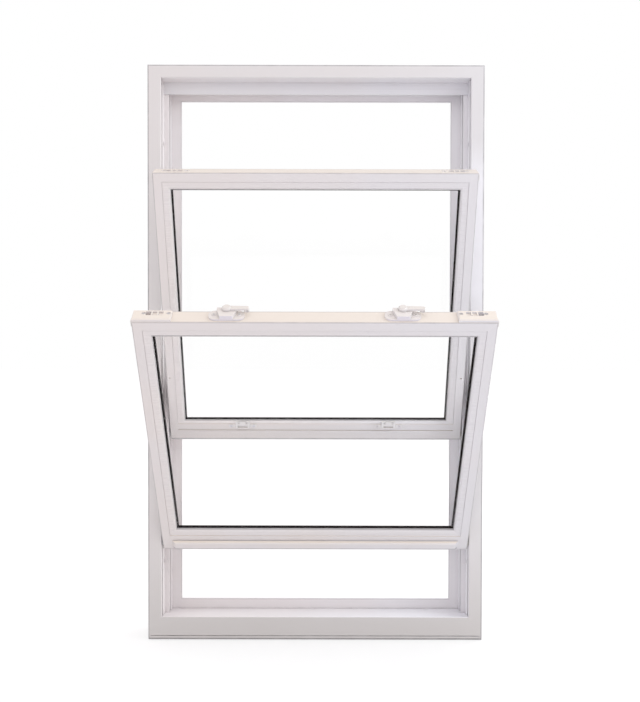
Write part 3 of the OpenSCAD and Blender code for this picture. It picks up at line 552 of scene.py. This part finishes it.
# %% A white plastic finish
PLASTIC_INDEX = 1.53
RUB_HIGHLIGHT_WIDTH, GRAIN, LINES_OVER_GRAIN = 0.0012, 1400.0, 1.6
HEIGHT_LOW, HEIGHT_HIGH = 0.6, 1.9
SMOOTHER, ROUGHER, DUST_ROUGHER = 0.06, 0.08, 0.25
SKIN_BUMP, SKIN_DEPTH = 0.12, 0.0004


def new_finish(name):
    material = bpy.data.materials.new(name)
    material.use_nodes = True
    return material, material.node_tree, material.node_tree.nodes["Principled BSDF"]


def add_bump(tree, shader, height, strength, depth):
    bump = tree.nodes.new("ShaderNodeBump")
    bump.inputs["Strength"].default_value = strength
    bump.inputs["Distance"].default_value = depth
    tree.links.new(height, bump.inputs["Height"])
    tree.links.new(bump.outputs[0], shader.inputs["Normal"])


# The finish lays painted light over the tone: a painted highlight with the rubbing on edges, painted shade
# with the dust in corners, painted shade on room faces with a painted patch of light, painted warm light on
# upward faces, painted cool shade on room faces and painted shade lines along edges.
def white_plastic(name, left, right, skin, tilt=0.0, drawn=None, dust_and_shade=0.5, rub=0.4, patches=6.0,
                  top_light=0.0, cool_shade=0.0, room_shade=None, edging=(), dust_and_shade_reach=0.010, weather=None):
    material, tree, shader = new_finish(name)
    tone = place_effect(tree, tone_drift, {
        "Left": opaque(left), "Right": opaque(right), "Patches": patches})["Color"]
    if room_shade:
        tone = lay_over(tree, tone, ROOM_SHADE_TONE, place_effect(tree, room_face_shade, room_shade)["Mask"])
    if weather:
        tone = weather_outside(tree, tone, *weather)
    # Upward faces get a painted warm light.
    if top_light:
        upward = facing(tree, 0.0, -math.sin(tilt), math.cos(tilt))
        tone = lay_over(tree, tone, WARM_TOP_LIGHT, upward, top_light)
    # Faces that look down into the room get a painted cool shade.
    if cool_shade:
        roomward = facing(tree, 0.0, -math.cos(tilt), -math.sin(tilt))
        tone = lay_over(tree, tone, COOL_SHADE_LAVENDER, roomward, cool_shade)
    edges = place_effect(tree, rub_and_highlight_edges, {"Width": RUB_HIGHLIGHT_WIDTH})["Mask"]
    tone = lay_over(tree, tone, RUB_AND_HIGHLIGHT_WHITE, edges, rub)
    for line in edging:
        tone = lay_shade_lines(tree, tone, *line)
    corners = place_effect(tree, corner_dust_and_shade, {"Reach": dust_and_shade_reach})["Mask"]
    feed(tree, lay_over(tree, tone, DUST_AND_SHADE_GREY, corners, dust_and_shade), shader.inputs["Base Color"])
    height = place_effect(tree, moulded_grain, {"Fineness": GRAIN})["Height"]
    if drawn:
        lines = place_effect(tree, drawn_lines, {"Tilt": tilt, "Fineness": drawn})["Height"]
        height = maths(tree, "ADD", maths(tree, "MULTIPLY", lines, LINES_OVER_GRAIN), height)
    gloss = stretch_range(tree, height, HEIGHT_LOW, HEIGHT_HIGH, skin - SMOOTHER, skin + ROUGHER)
    dusty = maths(tree, "MULTIPLY", corners, DUST_ROUGHER)
    feed(tree, maths(tree, "ADD", gloss, dusty), shader.inputs["Roughness"])
    add_bump(tree, shader, height, SKIN_BUMP, SKIN_DEPTH)
    shader.inputs["IOR"].default_value = PLASTIC_INDEX
    return material


def wear(node, material):
    slots = nodes[node].data.materials
    slots.clear()
    slots.append(material)


# %% [markdown]
# ## Where the lines of painted shade and grime run
#
# Painted shade, with some grime, lines the outer edges of the frame and of each sash, their feet, and
# where the opening or the glass begins. Each line follows an upright box and has a width in metres and
# an amount. The frame's box is measured from its solids. A foot line needs one edge only, so its box is
# made so large that all its other edges are far away.

# %% Lines on the frame
MEMBERS = {
    "frame": (["frame_head", "frame_sill"], ["jamb_left", "jamb_right"]),
    "lower": (["lower_top_rail", "lower_bottom_rail"], ["lower_stile_left", "lower_stile_right"]),
    "upper": (["upper_top_rail", "upper_bottom_rail"], ["upper_stile_left", "upper_stile_right"]),
}
frame_low = Vector(map(min, *(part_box(n)[0] for n in sum(MEMBERS["frame"], []))))
frame_high = Vector(map(max, *(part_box(n)[1] for n in sum(MEMBERS["frame"], []))))
BLIND_SIDE, BLIND_LOW, BLIND_TOP = 0.0595, 0.064, 0.057
TOE_BACK, FAR = 0.0035, 2.0
FAR_BOX = Vector((FAR, FAR, FAR))


def box_line(effect, part, low, high, width, amount):
    return (effect, part, (low + high) / 2, (high - low) / 2, width, amount)


def foot_line(part, low, width, amount):
    return (edge_shade_and_grime, part, low + Vector((0.0, FAR, FAR)), FAR_BOX, width, amount)


opening_low = frame_low + Vector((BLIND_SIDE, 0.0, BLIND_LOW))
opening_high = frame_high - Vector((BLIND_SIDE, 0.0, BLIND_TOP))
toe = Vector((0.0, frame_low.y + TOE_BACK, frame_low.z))
# The frame's outer line and its foot line are painted shade with some grime; the opening line is fainter
# painted shade.
EDGINGS = {"frame": [
    box_line(edge_shade_and_grime, "frame", frame_low, frame_high, width=0.0034, amount=0.85),
    box_line(opening_shade_and_grime, "frame", opening_low, opening_high, width=0.0022, amount=0.30),
    foot_line("frame", toe, width=0.0045, amount=0.85)]}
print("opening in mm:", [round(v / MM) for v in opening_high - opening_low])

# %% Lines on the sashes
SASH_HALF_MM = {"lower": 324.5, "upper": 315.0}
SASH_H, SASH_T, FOOT, FRONT = 0.582, 0.035, -0.009, -0.010
STILE_SIGHT = 0.0335
BOTTOM_SIGHT, TOP_SIGHT = {"lower": 0.0555, "upper": 0.045}, {"lower": 0.0298, "upper": 0.034}
LEDGE_OUT, LEDGE_UP = 0.0085, 0.005
BEAD_LINES = {}
for part in SASHES:
    pivot, half = LEANS[part][0], SASH_HALF_MM[part] * MM
    low = pivot + Vector((-half, FRONT, FOOT))
    high = pivot + Vector((half, FRONT + SASH_T, FOOT + SASH_H))
    glass_low = low + Vector((STILE_SIGHT, 0.0, BOTTOM_SIGHT[part]))
    glass_high = high - Vector((STILE_SIGHT, 0.0, TOP_SIGHT[part]))
    # Each sash's outer line and the line round its glass are painted shade, with some grime.
    EDGINGS[part] = [box_line(edge_shade_and_grime, part, low, high, width=0.0024, amount=0.55)]
    BEAD_LINES[part] = [box_line(opening_shade_and_grime, part, glass_low, glass_high, width=0.0014, amount=0.60)]
    print(part, "glass in mm:", [round(v / MM) for v in glass_high - glass_low])
# The foot lines under the ledge and the upper bottom rail are painted shade.
ledge = LOWER_PIVOT + Vector((0.0, FRONT - LEDGE_OUT, FOOT + LEDGE_UP))
upper_foot = UPPER_PIVOT + Vector((0.0, FRONT, FOOT))
EDGINGS["lower"].append(foot_line("lower", ledge, width=0.0075, amount=0.75))
EDGINGS["upper"].append(foot_line("upper", upper_foot, width=0.0045, amount=0.60))

# %% [markdown]
# ## Dressing the vinyl and the small parts
#
# Each pair of tones runs from pinkish on the left to lavender on the right. Rails are drawn sideways
# and posts upright, so each member needs the lines of its own direction. The sill lies flat and holds
# the most dust and painted shade in its corners, so it has a finish of its own. Levers carry painted
# shade at the lower end of their tip.

# %% Vinyl of the frame and the sashes
ALONG_X, ALONG_Z = (1.5, 620.0, 620.0), (620.0, 620.0, 1.5)
DRAWN = ("_rail_vinyl", ALONG_X), ("_post_vinyl", ALONG_Z)
SASH_TONES = (0.815, 0.765, 0.752), (0.788, 0.778, 0.808)
FRAME_TONES = (0.925, 0.880, 0.885), (0.915, 0.910, 0.955)
STOP_TONES = (0.785, 0.77, 0.785), (0.775, 0.775, 0.82)
# The sash's edges get a painted highlight with the rubbing, and its upward faces a painted warm light.
SATIN, SASH_RUB_AND_HIGHLIGHT, SASH_TOP_LIGHT, SASH_OUTSIDE = 0.34, 0.5, 0.85, 0.45
WEATHER = {part: (half * MM, SASH_OUTSIDE) for part, half in SASH_HALF_MM.items()}
WEATHER["frame"] = (cad_high.x, 1.0)
# Painted shade on the room faces; on the frame a painted patch of light lifts it at mid-height.
ROOM_SHADES = {
    "frame": {"Lit Patch": 0.45},
    "lower": None,
    "upper": {"Face": 0.0, "Rear Share": 1.0, "Foot": 0.5, "Foot Low": 0.42, "Foot High": 0.475},
}

for part, members in MEMBERS.items():
    on_sash = part in SASHES
    for names, (word, drawn) in zip(members, DRAWN):
        vinyl = white_plastic(
            part + word, *(SASH_TONES if on_sash else FRAME_TONES), SATIN, LEANS[part][1], drawn,
            dust_and_shade=0.2, rub=SASH_RUB_AND_HIGHLIGHT if on_sash else 0.0, top_light=SASH_TOP_LIGHT if on_sash else 0.0,
            room_shade=ROOM_SHADES[part], edging=EDGINGS[part], weather=WEATHER[part])
        for name in names:
            wear(name, vinyl)
# The sill's heavy corner grey is partly dust and partly painted shade in its tracks.
wear("frame_sill", white_plastic(
    "sill_vinyl", *FRAME_TONES, SATIN, drawn=ALONG_X, dust_and_shade=1.0, rub=0.0, room_shade=ROOM_SHADES["frame"],
    edging=EDGINGS["frame"], dust_and_shade_reach=0.004, weather=WEATHER["frame"]))
for part in SASHES:
    wear(part + "_glazing_beads", white_plastic(
        part + "_bead_vinyl", *SASH_TONES, skin=0.26, tilt=LEANS[part][1], drawn=ALONG_X, dust_and_shade=0.25,
        rub=SASH_RUB_AND_HIGHLIGHT, edging=BEAD_LINES[part]))
wear("head_parting_stop", white_plastic("stop_vinyl", *STOP_TONES, skin=0.28, drawn=ALONG_X, dust_and_shade=0.2))
print("vinyl finishes:", sorted(m.name for m in bpy.data.materials if m.name.endswith("_vinyl")))

# %% Enamel of the locks and keepers
SIDES = {"left": -1, "right": 1}
LOCK_AT = 157.0
LEVER_TIP, TIP_SHADE_WIDTH = Vector((0.04, 0.0, 0.5794)), 0.006
LOCK_TONES = (0.80, 0.765, 0.75), (0.79, 0.77, 0.79)
LEVER_TONES = (0.765, 0.735, 0.715), (0.76, 0.74, 0.74)
KEEPER_TONES = (0.84, 0.82, 0.815), (0.83, 0.82, 0.835)
SMALL_PATCHES = 25.0


# The heavy corner grey of the cast parts is mostly painted shade in their creases and along their feet.
def lock_enamel(name, left, right, tilt, cool_shade, edging=()):
    return white_plastic(
        name, left, right, skin=0.24, tilt=tilt, rub=0.3, patches=SMALL_PATCHES, dust_and_shade=0.9, top_light=0.35,
        cool_shade=cool_shade, edging=edging, dust_and_shade_reach=0.0035)


# Painted shade at the lower end of the lever's tip.
def lever_tip_shade(lock_x):
    """Only the lower end of the lever's wide and tall box is near."""
    middle = LOWER_PIVOT + LEVER_TIP + Vector((lock_x - FAR, 0.0, FAR))
    return (edge_shade_and_grime, "lower", middle, FAR_BOX, TIP_SHADE_WIDTH, 0.7)


# The lock base's room face gets the most painted cool shade.
enamel = lock_enamel("lock_enamel", *LOCK_TONES, LOWER_TILT, cool_shade=0.45)
keeper_enamel = lock_enamel("keeper_enamel", *KEEPER_TONES, UPPER_TILT, cool_shade=0.0)
for side, sign in SIDES.items():
    wear("lock_base_" + side, enamel)
    wear("keeper_" + side, keeper_enamel)
    wear("lock_lever_" + side, lock_enamel(
        "lever_enamel_" + side, *LEVER_TONES, LOWER_TILT, cool_shade=0.1,
        edging=[lever_tip_shade(sign * LOCK_AT * MM)]))
print("enamels:", sorted(m.name for m in bpy.data.materials if "enamel" in m.name))

# %% Latches, shoes and balance tubes
NYLON_TONES = (0.83, 0.80, 0.775), (0.82, 0.80, 0.79)
TUBE_TONES = (0.80, 0.79, 0.785), (0.79, 0.79, 0.80)
# Latch cases and nylon parts also get a painted warm light on their upward faces.
latch_vinyl = white_plastic(
    "latch_case_vinyl", *SASH_TONES, skin=0.28, tilt=LOWER_TILT, rub=0.3, dust_and_shade=0.2, top_light=SASH_TOP_LIGHT)
nylon = white_plastic(
    "moulded_nylon", *NYLON_TONES, skin=0.42, tilt=LOWER_TILT, patches=SMALL_PATCHES, dust_and_shade=0.15,
    top_light=0.7)
tube_white = white_plastic("balance_tube_white", *TUBE_TONES, skin=0.30, drawn=ALONG_Z, dust_and_shade=0.2)
SMALL_PARTS = {
    "_latch_case_": latch_vinyl, "_latch_bolt_": nylon, "_shoe_": nylon, "_balance_": tube_white}
for part in SASHES:
    for word, finish in SMALL_PARTS.items():
        for side in SIDES:
            wear(part + word + side, finish)
print("small parts:", len(SASHES) * len(SMALL_PARTS) * len(SIDES))

# %% [markdown]
# ## Soft edges of the cast parts
#
# Locks and keepers are cast and then enamelled, so none of their edges is sharp: each one carries a
# thin bright line. A bevel on the shader alone would leave the outline hard, so the edges are really
# rounded. The facets of each solid are first joined into whole faces, or the bevel would stop at
# every facet's border.

# %% Round the edges
SOFT_MM = {"lock_base_": 1.6, "lock_lever_": 1.3, "keeper_": 0.6, "lower_latch_case_": 0.7}
WELD_MM, EDGE_STEPS = 0.01, 3
FLAT, CREASE = math.radians(1), math.radians(30)


def soften(node, width):
    stack = nodes[node].modifiers
    stack.new("join_facets", "WELD").merge_threshold = WELD_MM * MM
    whole = stack.new("whole_faces", "DECIMATE")
    whole.decimate_type = "DISSOLVE"
    whole.angle_limit = FLAT
    soft_edge = stack.new("soft_edges", "BEVEL")
    soft_edge.width = width * MM
    soft_edge.segments = EDGE_STEPS
    soft_edge.limit_method = "ANGLE"
    soft_edge.angle_limit = CREASE
    stack.new("even_shading", "WEIGHTED_NORMAL").keep_sharp = True


for word, width in SOFT_MM.items():
    for side in SIDES:
        soften(word + side, width)
print("rounded:", ", ".join(SOFT_MM))

# %% [markdown]
# ## Glass
#
# Each sash holds a sealed unit of two clear panes. Glass made of a plain refracting shader throws
# solid shadows, because its light paths are too rare to find. So the panes let shadow rays through
# untouched, and keep their refraction and reflections for everything that is seen. The glass shows
# no ghost image of the other sash, as low-glare glass does, and so its index is set low.

# %% Clear panes
LOW_GLARE_INDEX = 1.12
HAZE_PATCHES, HAZE_ROUGH = 7.0, 0.03
clear_glass, tree, pane_shader = new_finish("clear_glass")
pane_shader.inputs["Base Color"].default_value = opaque(WHITE)
pane_shader.inputs["Transmission Weight"].default_value = 1.0
pane_shader.inputs["IOR"].default_value = LOW_GLARE_INDEX
haze = noise(tree, own_place(tree), HAZE_PATCHES, detail=5.0)
feed(tree, stretch_range(tree, haze, 0.45, 0.8, 0.0, HAZE_ROUGH), pane_shader.inputs["Roughness"])
passing = tree.nodes.new("ShaderNodeBsdfTransparent")
shadow_ray = tree.nodes.new("ShaderNodeLightPath").outputs["Is Shadow Ray"]
glazing = choose_shader(tree, shadow_ray, pane_shader, passing)
tree.links.new(glazing, tree.nodes["Material Output"].inputs["Surface"])
for part in SASHES:
    for face in ("room", "outside"):
        wear(part + "_pane_" + face, clear_glass)
print("glass index:", LOW_GLARE_INDEX)

# %% [markdown]
# ## Spacer, rubber and steel
#
# A black warm-edge spacer runs round each glass unit and shows as the thin dark line inside the
# beads. Under the glass lie rubber blocks. Screws, pivot bars and the twisted rods are zinc-plated
# steel, whose brushing shows as fine streaks in its roughness.

# %% A plain finish
DRIFT_HALF, DRIFT_PATCHES = 0.05, 40.0
FINE_RUB_HIGHLIGHT, RUB_HIGHLIGHT_AMOUNT, RUB_HIGHLIGHT_GAIN, RUB_HIGHLIGHT_LIFT = 0.0006, 0.6, 1.5, 0.01
FINE_DEPTH = 0.0003


# Edges are made lighter, partly rubbed wear and partly a painted highlight.
def plain_finish(name, colour, other, metallic, smooth, rough, fineness, bump, shine=0.5):
    material, tree, shader = new_finish(name)
    shader.inputs["Metallic"].default_value = metallic
    shader.inputs["Specular IOR Level"].default_value = shine
    tone = place_effect(tree, tone_drift, {
        "Left": opaque(colour), "Right": opaque(other),
        "Half Width": DRIFT_HALF, "Patches": DRIFT_PATCHES})["Color"]
    edges = place_effect(tree, rub_and_highlight_edges, {"Width": FINE_RUB_HIGHLIGHT})["Mask"]
    lighter = tuple(min(1.0, v * RUB_HIGHLIGHT_GAIN + RUB_HIGHLIGHT_LIFT) for v in colour)
    feed(tree, lay_over(tree, tone, lighter, edges, RUB_HIGHLIGHT_AMOUNT), shader.inputs["Base Color"])
    height = place_effect(tree, drawn_lines, {"Tilt": 0.0, "Fineness": fineness})["Height"]
    feed(tree, spread_noise(tree, height, smooth, rough), shader.inputs["Roughness"])
    add_bump(tree, shader, height, bump, FINE_DEPTH)
    return material


# %% Dark and metal finishes
EVEN, BRUSHED = (900.0, 900.0, 900.0), (60.0, 1500.0, 60.0)
spacer_black = plain_finish(
    "spacer_black", (0.022, 0.017, 0.018), (0.028, 0.022, 0.022),
    metallic=0.0, smooth=0.6, rough=0.8, fineness=EVEN, bump=0.3, shine=0.08)
block_rubber = plain_finish(
    "block_rubber", (0.03, 0.03, 0.032), (0.04, 0.038, 0.036),
    metallic=0.0, smooth=0.7, rough=0.9, fineness=EVEN, bump=0.4, shine=0.3)
zinc = plain_finish(
    "zinc_steel", (0.62, 0.63, 0.65), (0.60, 0.58, 0.53),
    metallic=1.0, smooth=0.25, rough=0.5, fineness=BRUSHED, bump=0.2)
for part in SASHES:
    wear(part + "_spacer", spacer_black)
    wear(part + "_setting_blocks", block_rubber)
    for side in SIDES:
        wear(part + "_pivot_" + side, zinc)
        wear(part + "_rod_" + side, zinc)
for name in ("balance_screws", "lower_screws", "upper_screws"):
    wear(name, zinc)
print("finishes so far:", len(bpy.data.materials))

# %% [markdown]
# ## Screws
#
# Small pan-head screws hold the locks, the latches and the keepers. What the eye looks for is the
# cross in the head. Cutting it with a boolean would leave ragged faces, so the head is a square net
# drawn out to a disc, with the cross lying along its rows. The net is domed and then pushed in along
# the cross. Below it the shank carries rings for its thread. The heads are painted white like the
# locks, and only the cross and the shank show the zinc.

# %% Place a piece on a sash
def add_sash_piece(name, points, faces, materials, part, finish, node, marks=()):
    """Points are in millimetres, measured upright from the sash's pivot line."""
    mesh = bpy.data.meshes.new(name)
    pivot, tilt = LEANS[part]
    put = Matrix.Translation(pivot) @ Matrix.Rotation(tilt, 4, "X")
    mesh.from_pydata([put @ (Vector(p) * MM) for p in points], [], faces)
    for material in materials:
        mesh.materials.append(material)
    for face, mark in zip(mesh.polygons, marks):
        face.material_index = mark
    mesh.update()
    piece = bpy.data.objects.new(name, mesh)
    scene.collection.objects.link(piece)
    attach(piece, part + "_sash")
    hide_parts(node)
    print(name, "faces:", len(faces))


# %% Head of a screw
NET = 20
ROW = NET + 1
CROSS_HALF, CROSS_REACH, CROSS_DEPTH, CROSS_RISE = 0.17, 0.66, 0.75, 0.5
DOME_DROP = 0.5
PAINTED, STEEL = 0, 1


def disc_point(u, v):
    if abs(u) > abs(v):
        radius, angle = u, math.pi / 4 * v / u
    elif v:
        radius, angle = v, math.pi / 2 - math.pi / 4 * u / v
    else:
        return 0.0, 0.0
    return radius * math.cos(angle), radius * math.sin(angle)


def screw_head(head_r, head_t):
    points, faces, marks, sunk = [], [], [], set()
    for j in range(ROW):
        for i in range(ROW):
            u, v = 2 * i / NET - 1, 2 * j / NET - 1
            x, y = disc_point(u, v)
            r = math.hypot(x, y)
            z = 1 - DOME_DROP * r * r
            if min(abs(u), abs(v)) < CROSS_HALF and max(abs(u), abs(v)) < CROSS_REACH:
                z -= CROSS_DEPTH * (1 - CROSS_RISE * r / CROSS_REACH)
                sunk.add(len(points))
            points.append((x * head_r, y * head_r, z * head_t))
    for j in range(NET):
        for i in range(NET):
            a = j * ROW + i
            net_face = (a, a + 1, a + ROW + 1, a + ROW)
            faces.append(net_face)
            marks.append(STEEL if len(sunk.intersection(net_face)) > 1 else PAINTED)
    return points, faces, marks


# %% A whole screw
THREAD_PITCH, THREAD_CUT, POINT = 1.5, 0.82, 0.05
RIM = [i for i in range(NET)] + [j * ROW + NET for j in range(NET)]
RIM += [NET * ROW + NET - i for i in range(NET)] + [(NET - j) * ROW for j in range(NET)]


def screw(head_r, head_t, shank_r, length):
    points, faces, marks = screw_head(head_r, head_t)
    shank = shank_r / head_r
    rings = [(1.0, 0.0), (shank, 0.0)]
    for k in range(1, int(length / THREAD_PITCH) * 2):
        cut = THREAD_CUT if k % 2 else 1.0
        rings.append((shank * cut, -k * THREAD_PITCH / 2))
    rings.append((POINT, -length))
    last = RIM
    for scale, z in rings:
        ring = []
        for a in RIM:
            x, y, _ = points[a]
            ring.append(len(points))
            points.append((x * scale, y * scale, z))
        for k, a in enumerate(last):
            b = (k + 1) % len(last)
            faces.append((last[b], a, ring[k], ring[b]))
        last = ring
    faces.append(tuple(reversed(last)))
    marks += [PAINTED] * len(RIM)
    marks += [STEEL] * (len(faces) - len(marks))
    return points, faces, marks


# %% Put the screws in
SCREW, KEEPER_SCREW = (3.6, 1.6, 2.0, 12.0), (3.0, 1.6, 1.6, 7.0)
LOCK_SCREW_OUT, KEEPER_SCREW_OUT = 22.785, 24.0
LOCK_SEAT, KEEPER_SEAT = (9.0, 576.5), (-12.0, 25.5)
LATCH_SEATS, LATCH_INSETS = {"lower": (10.0, 576.6), "upper": (10.0, 570.6)}, (20.0, 64.5)
FACING_UP, FACING_ROOM = Matrix.Identity(4), Matrix.Rotation(math.radians(90), 4, "X")
spins = random.Random(7)


def screw_set(spots):
    points, faces, marks = [], [], []
    for place, turned, sizes in spots:
        spin = Matrix.Rotation(spins.uniform(0, math.pi), 4, "Z")
        put = Matrix.Translation(place) @ turned @ spin
        own_points, own_faces, own_marks = screw(*sizes)
        start = len(points)
        marks += own_marks
        points += [put @ Vector(p) for p in own_points]
        faces += [tuple(start + i for i in face) for face in own_faces]
    return points, faces, marks


spots = {part: [] for part in SASHES}
for sign in SIDES.values():
    for step in (-1, 1):
        lock_x = sign * LOCK_AT + step * LOCK_SCREW_OUT
        keeper_x = sign * LOCK_AT + step * KEEPER_SCREW_OUT
        spots["lower"].append(((lock_x, *LOCK_SEAT), FACING_UP, SCREW))
        spots["upper"].append(((keeper_x, *KEEPER_SEAT), FACING_ROOM, KEEPER_SCREW))
    for part, half in SASH_HALF_MM.items():
        for inset in LATCH_INSETS:
            spots[part].append(((sign * (half - inset), *LATCH_SEATS[part]), FACING_UP, SCREW))
for part in SASHES:
    points, faces, marks = screw_set(spots[part])
    add_sash_piece(
        part + "_cross_screws", points, faces, (enamel, zinc), part, "steel", part + "_screws", marks)

# %% [markdown]
# ## Pile strips
#
# Brush-like pile seals the gap between the stiles and the tracks. A bump on a block would look solid
# from the side, so each strip is built like the real one: a thin woven backing in its slot, and rows
# of soft tufts that lean a little each way. A seeded random keeps them the same in every run.

# %% One tuft
PILE_Y, PILE_Z = (18.0, 23.0), (36.0, 528.0)
TUFT_ROWS, TUFT_STEP, TUFT_HALF, TUFT_LONG = 5, 1.5, 0.42, 1.7
ROW_INSET = 0.6
ROW_STEP = (PILE_Y[1] - PILE_Y[0] - 2 * ROW_INSET) / (TUFT_ROWS - 1)
STRAY, SHORTER, LEAN_ACROSS, LEAN_ALONG = 0.3, 0.5, 0.15, 0.7
CORNERS = [math.pi / 2 * k + math.pi / 4 for k in range(4)]
leans = random.Random(23)


def tuft(sign, crown, tip, step, row):
    """Four corners on the backing, and a tip that strays from their middle."""
    y = PILE_Y[0] + ROW_INSET + row * ROW_STEP
    z = PILE_Z[0] + TUFT_STEP * (step + 0.5) + leans.uniform(-STRAY, STRAY)
    end = tip - sign * leans.uniform(0.0, SHORTER)
    lean_y = leans.uniform(-LEAN_ACROSS, LEAN_ACROSS)
    lean_z = leans.uniform(-LEAN_ALONG, LEAN_ALONG)
    foot = [(y + TUFT_HALF * math.cos(a), z + TUFT_HALF * TUFT_LONG * math.sin(a)) for a in CORNERS]
    return [(crown, *corner) for corner in foot] + [(end, y + lean_y, z + lean_z)]


# %% Weave the pile
PILE_DEEP, PILE_PROUD, BACKING = 2.5, 2.0, 0.7
BACKING_FACES = [(0, 1, 3, 2), (4, 6, 7, 5), (0, 4, 5, 1), (2, 3, 7, 6), (0, 2, 6, 4), (1, 5, 7, 3)]
TUFT_FACES = [(k, (k + 1) % 4, 4) for k in range(4)]


def add_faces(faces, new, start, keep):
    """Numbers the faces from start on, and turns them over unless they are to be kept."""
    for face in new:
        face = tuple(start + i for i in face)
        faces.append(face if keep else face[::-1])


def pile_strips(half):
    points, faces = [], []
    for sign in SIDES.values():
        root, tip = sign * (half - PILE_DEEP), sign * (half + PILE_PROUD)
        crown = root + sign * BACKING
        add_faces(faces, BACKING_FACES, len(points), sign < 0)
        points += [(x, y, z) for x in (root, crown) for z in PILE_Z for y in PILE_Y]
        for step in range(int((PILE_Z[1] - PILE_Z[0]) / TUFT_STEP)):
            for row in range(TUFT_ROWS):
                add_faces(faces, TUFT_FACES, len(points), sign > 0)
                points += tuft(sign, crown, tip, step, row)
    return points, faces


pile_grey = plain_finish(
    "pile_grey", (0.42, 0.42, 0.43), (0.36, 0.355, 0.35),
    metallic=0.0, smooth=0.85, rough=1.0, fineness=EVEN, bump=0.5)
for part, half in SASH_HALF_MM.items():
    add_sash_piece(part + "_pile_tufts", *pile_strips(half), (pile_grey,), part, "pile", part + "_pile")

# %% [markdown]
# ## Bulb seal
#
# Under the bottom rail a hollow rubber bulb closes the gap to the sill. It is one profile, a flat
# foot with a soft round hollow below it, drawn out along the rail. Small waves along its length keep
# it from looking like a rod.

# %% Draw out the bulb
SEAL_HALF, SEAL_FOOT, SEAL_MID_Y = 291.0, -9.0, 20.0
SEAL_R, SEAL_DROP, SEAL_WALL, SEAL_EASE, ROOF_SHARE = 3.0, 5.5, 0.8, 0.15, 0.6
SEAL_STEPS, SEAL_TURNS = 96, 14
WAVES = (0.08, 0.11), (0.05, 0.37)
RING = SEAL_TURNS + 1
SEAL_ALONG = (0, True), (RING, False)
SEAL_ENDS = (0, True), (SEAL_STEPS * 2 * RING, False)


def seal_ring(x, inset):
    sag = sum(height * math.sin(x * rate) for height, rate in WAVES)
    ring = []
    for k in range(RING):
        angle = math.pi * k / SEAL_TURNS
        drop = (SEAL_DROP - SEAL_EASE - inset + sag) * math.sin(angle)
        y = SEAL_MID_Y + (SEAL_R - inset) * math.cos(angle)
        ring.append((x, y, SEAL_FOOT - inset * ROOF_SHARE - drop))
    return ring


def bulb_seal():
    points, faces = [], []
    for step in range(SEAL_STEPS + 1):
        x = -SEAL_HALF + 2 * SEAL_HALF * step / SEAL_STEPS
        points += seal_ring(x, 0.0) + seal_ring(x, SEAL_WALL)
    turn = [(k, (k + 1) % RING) for k in range(RING)]
    walls = [(a, b, b + 2 * RING, a + 2 * RING) for a, b in turn]
    rims = [(b, a, a + RING, b + RING) for a, b in turn]
    for step in range(SEAL_STEPS):
        for shift, outward in SEAL_ALONG:
            add_faces(faces, walls, step * 2 * RING + shift, outward)
    for base, first in SEAL_ENDS:
        add_faces(faces, rims, base, first)
    return points, faces


seal_rubber = plain_finish(
    "seal_rubber", (0.035, 0.035, 0.037), (0.05, 0.048, 0.046),
    metallic=0.0, smooth=0.5, rough=0.7, fineness=(4.0, 900.0, 900.0), bump=0.3)
add_sash_piece("lower_bulb_seal", *bulb_seal(), (seal_rubber,), "lower", "black_rubber", "lower_bottom_seal")

# %% [markdown]
# ## Bringing the scene up to date
#
# The view layer is updated, so that the pieces added above take their places. The dressed
# window must not outgrow its solids.

# %% Update the scene
bpy.context.view_layer.update()
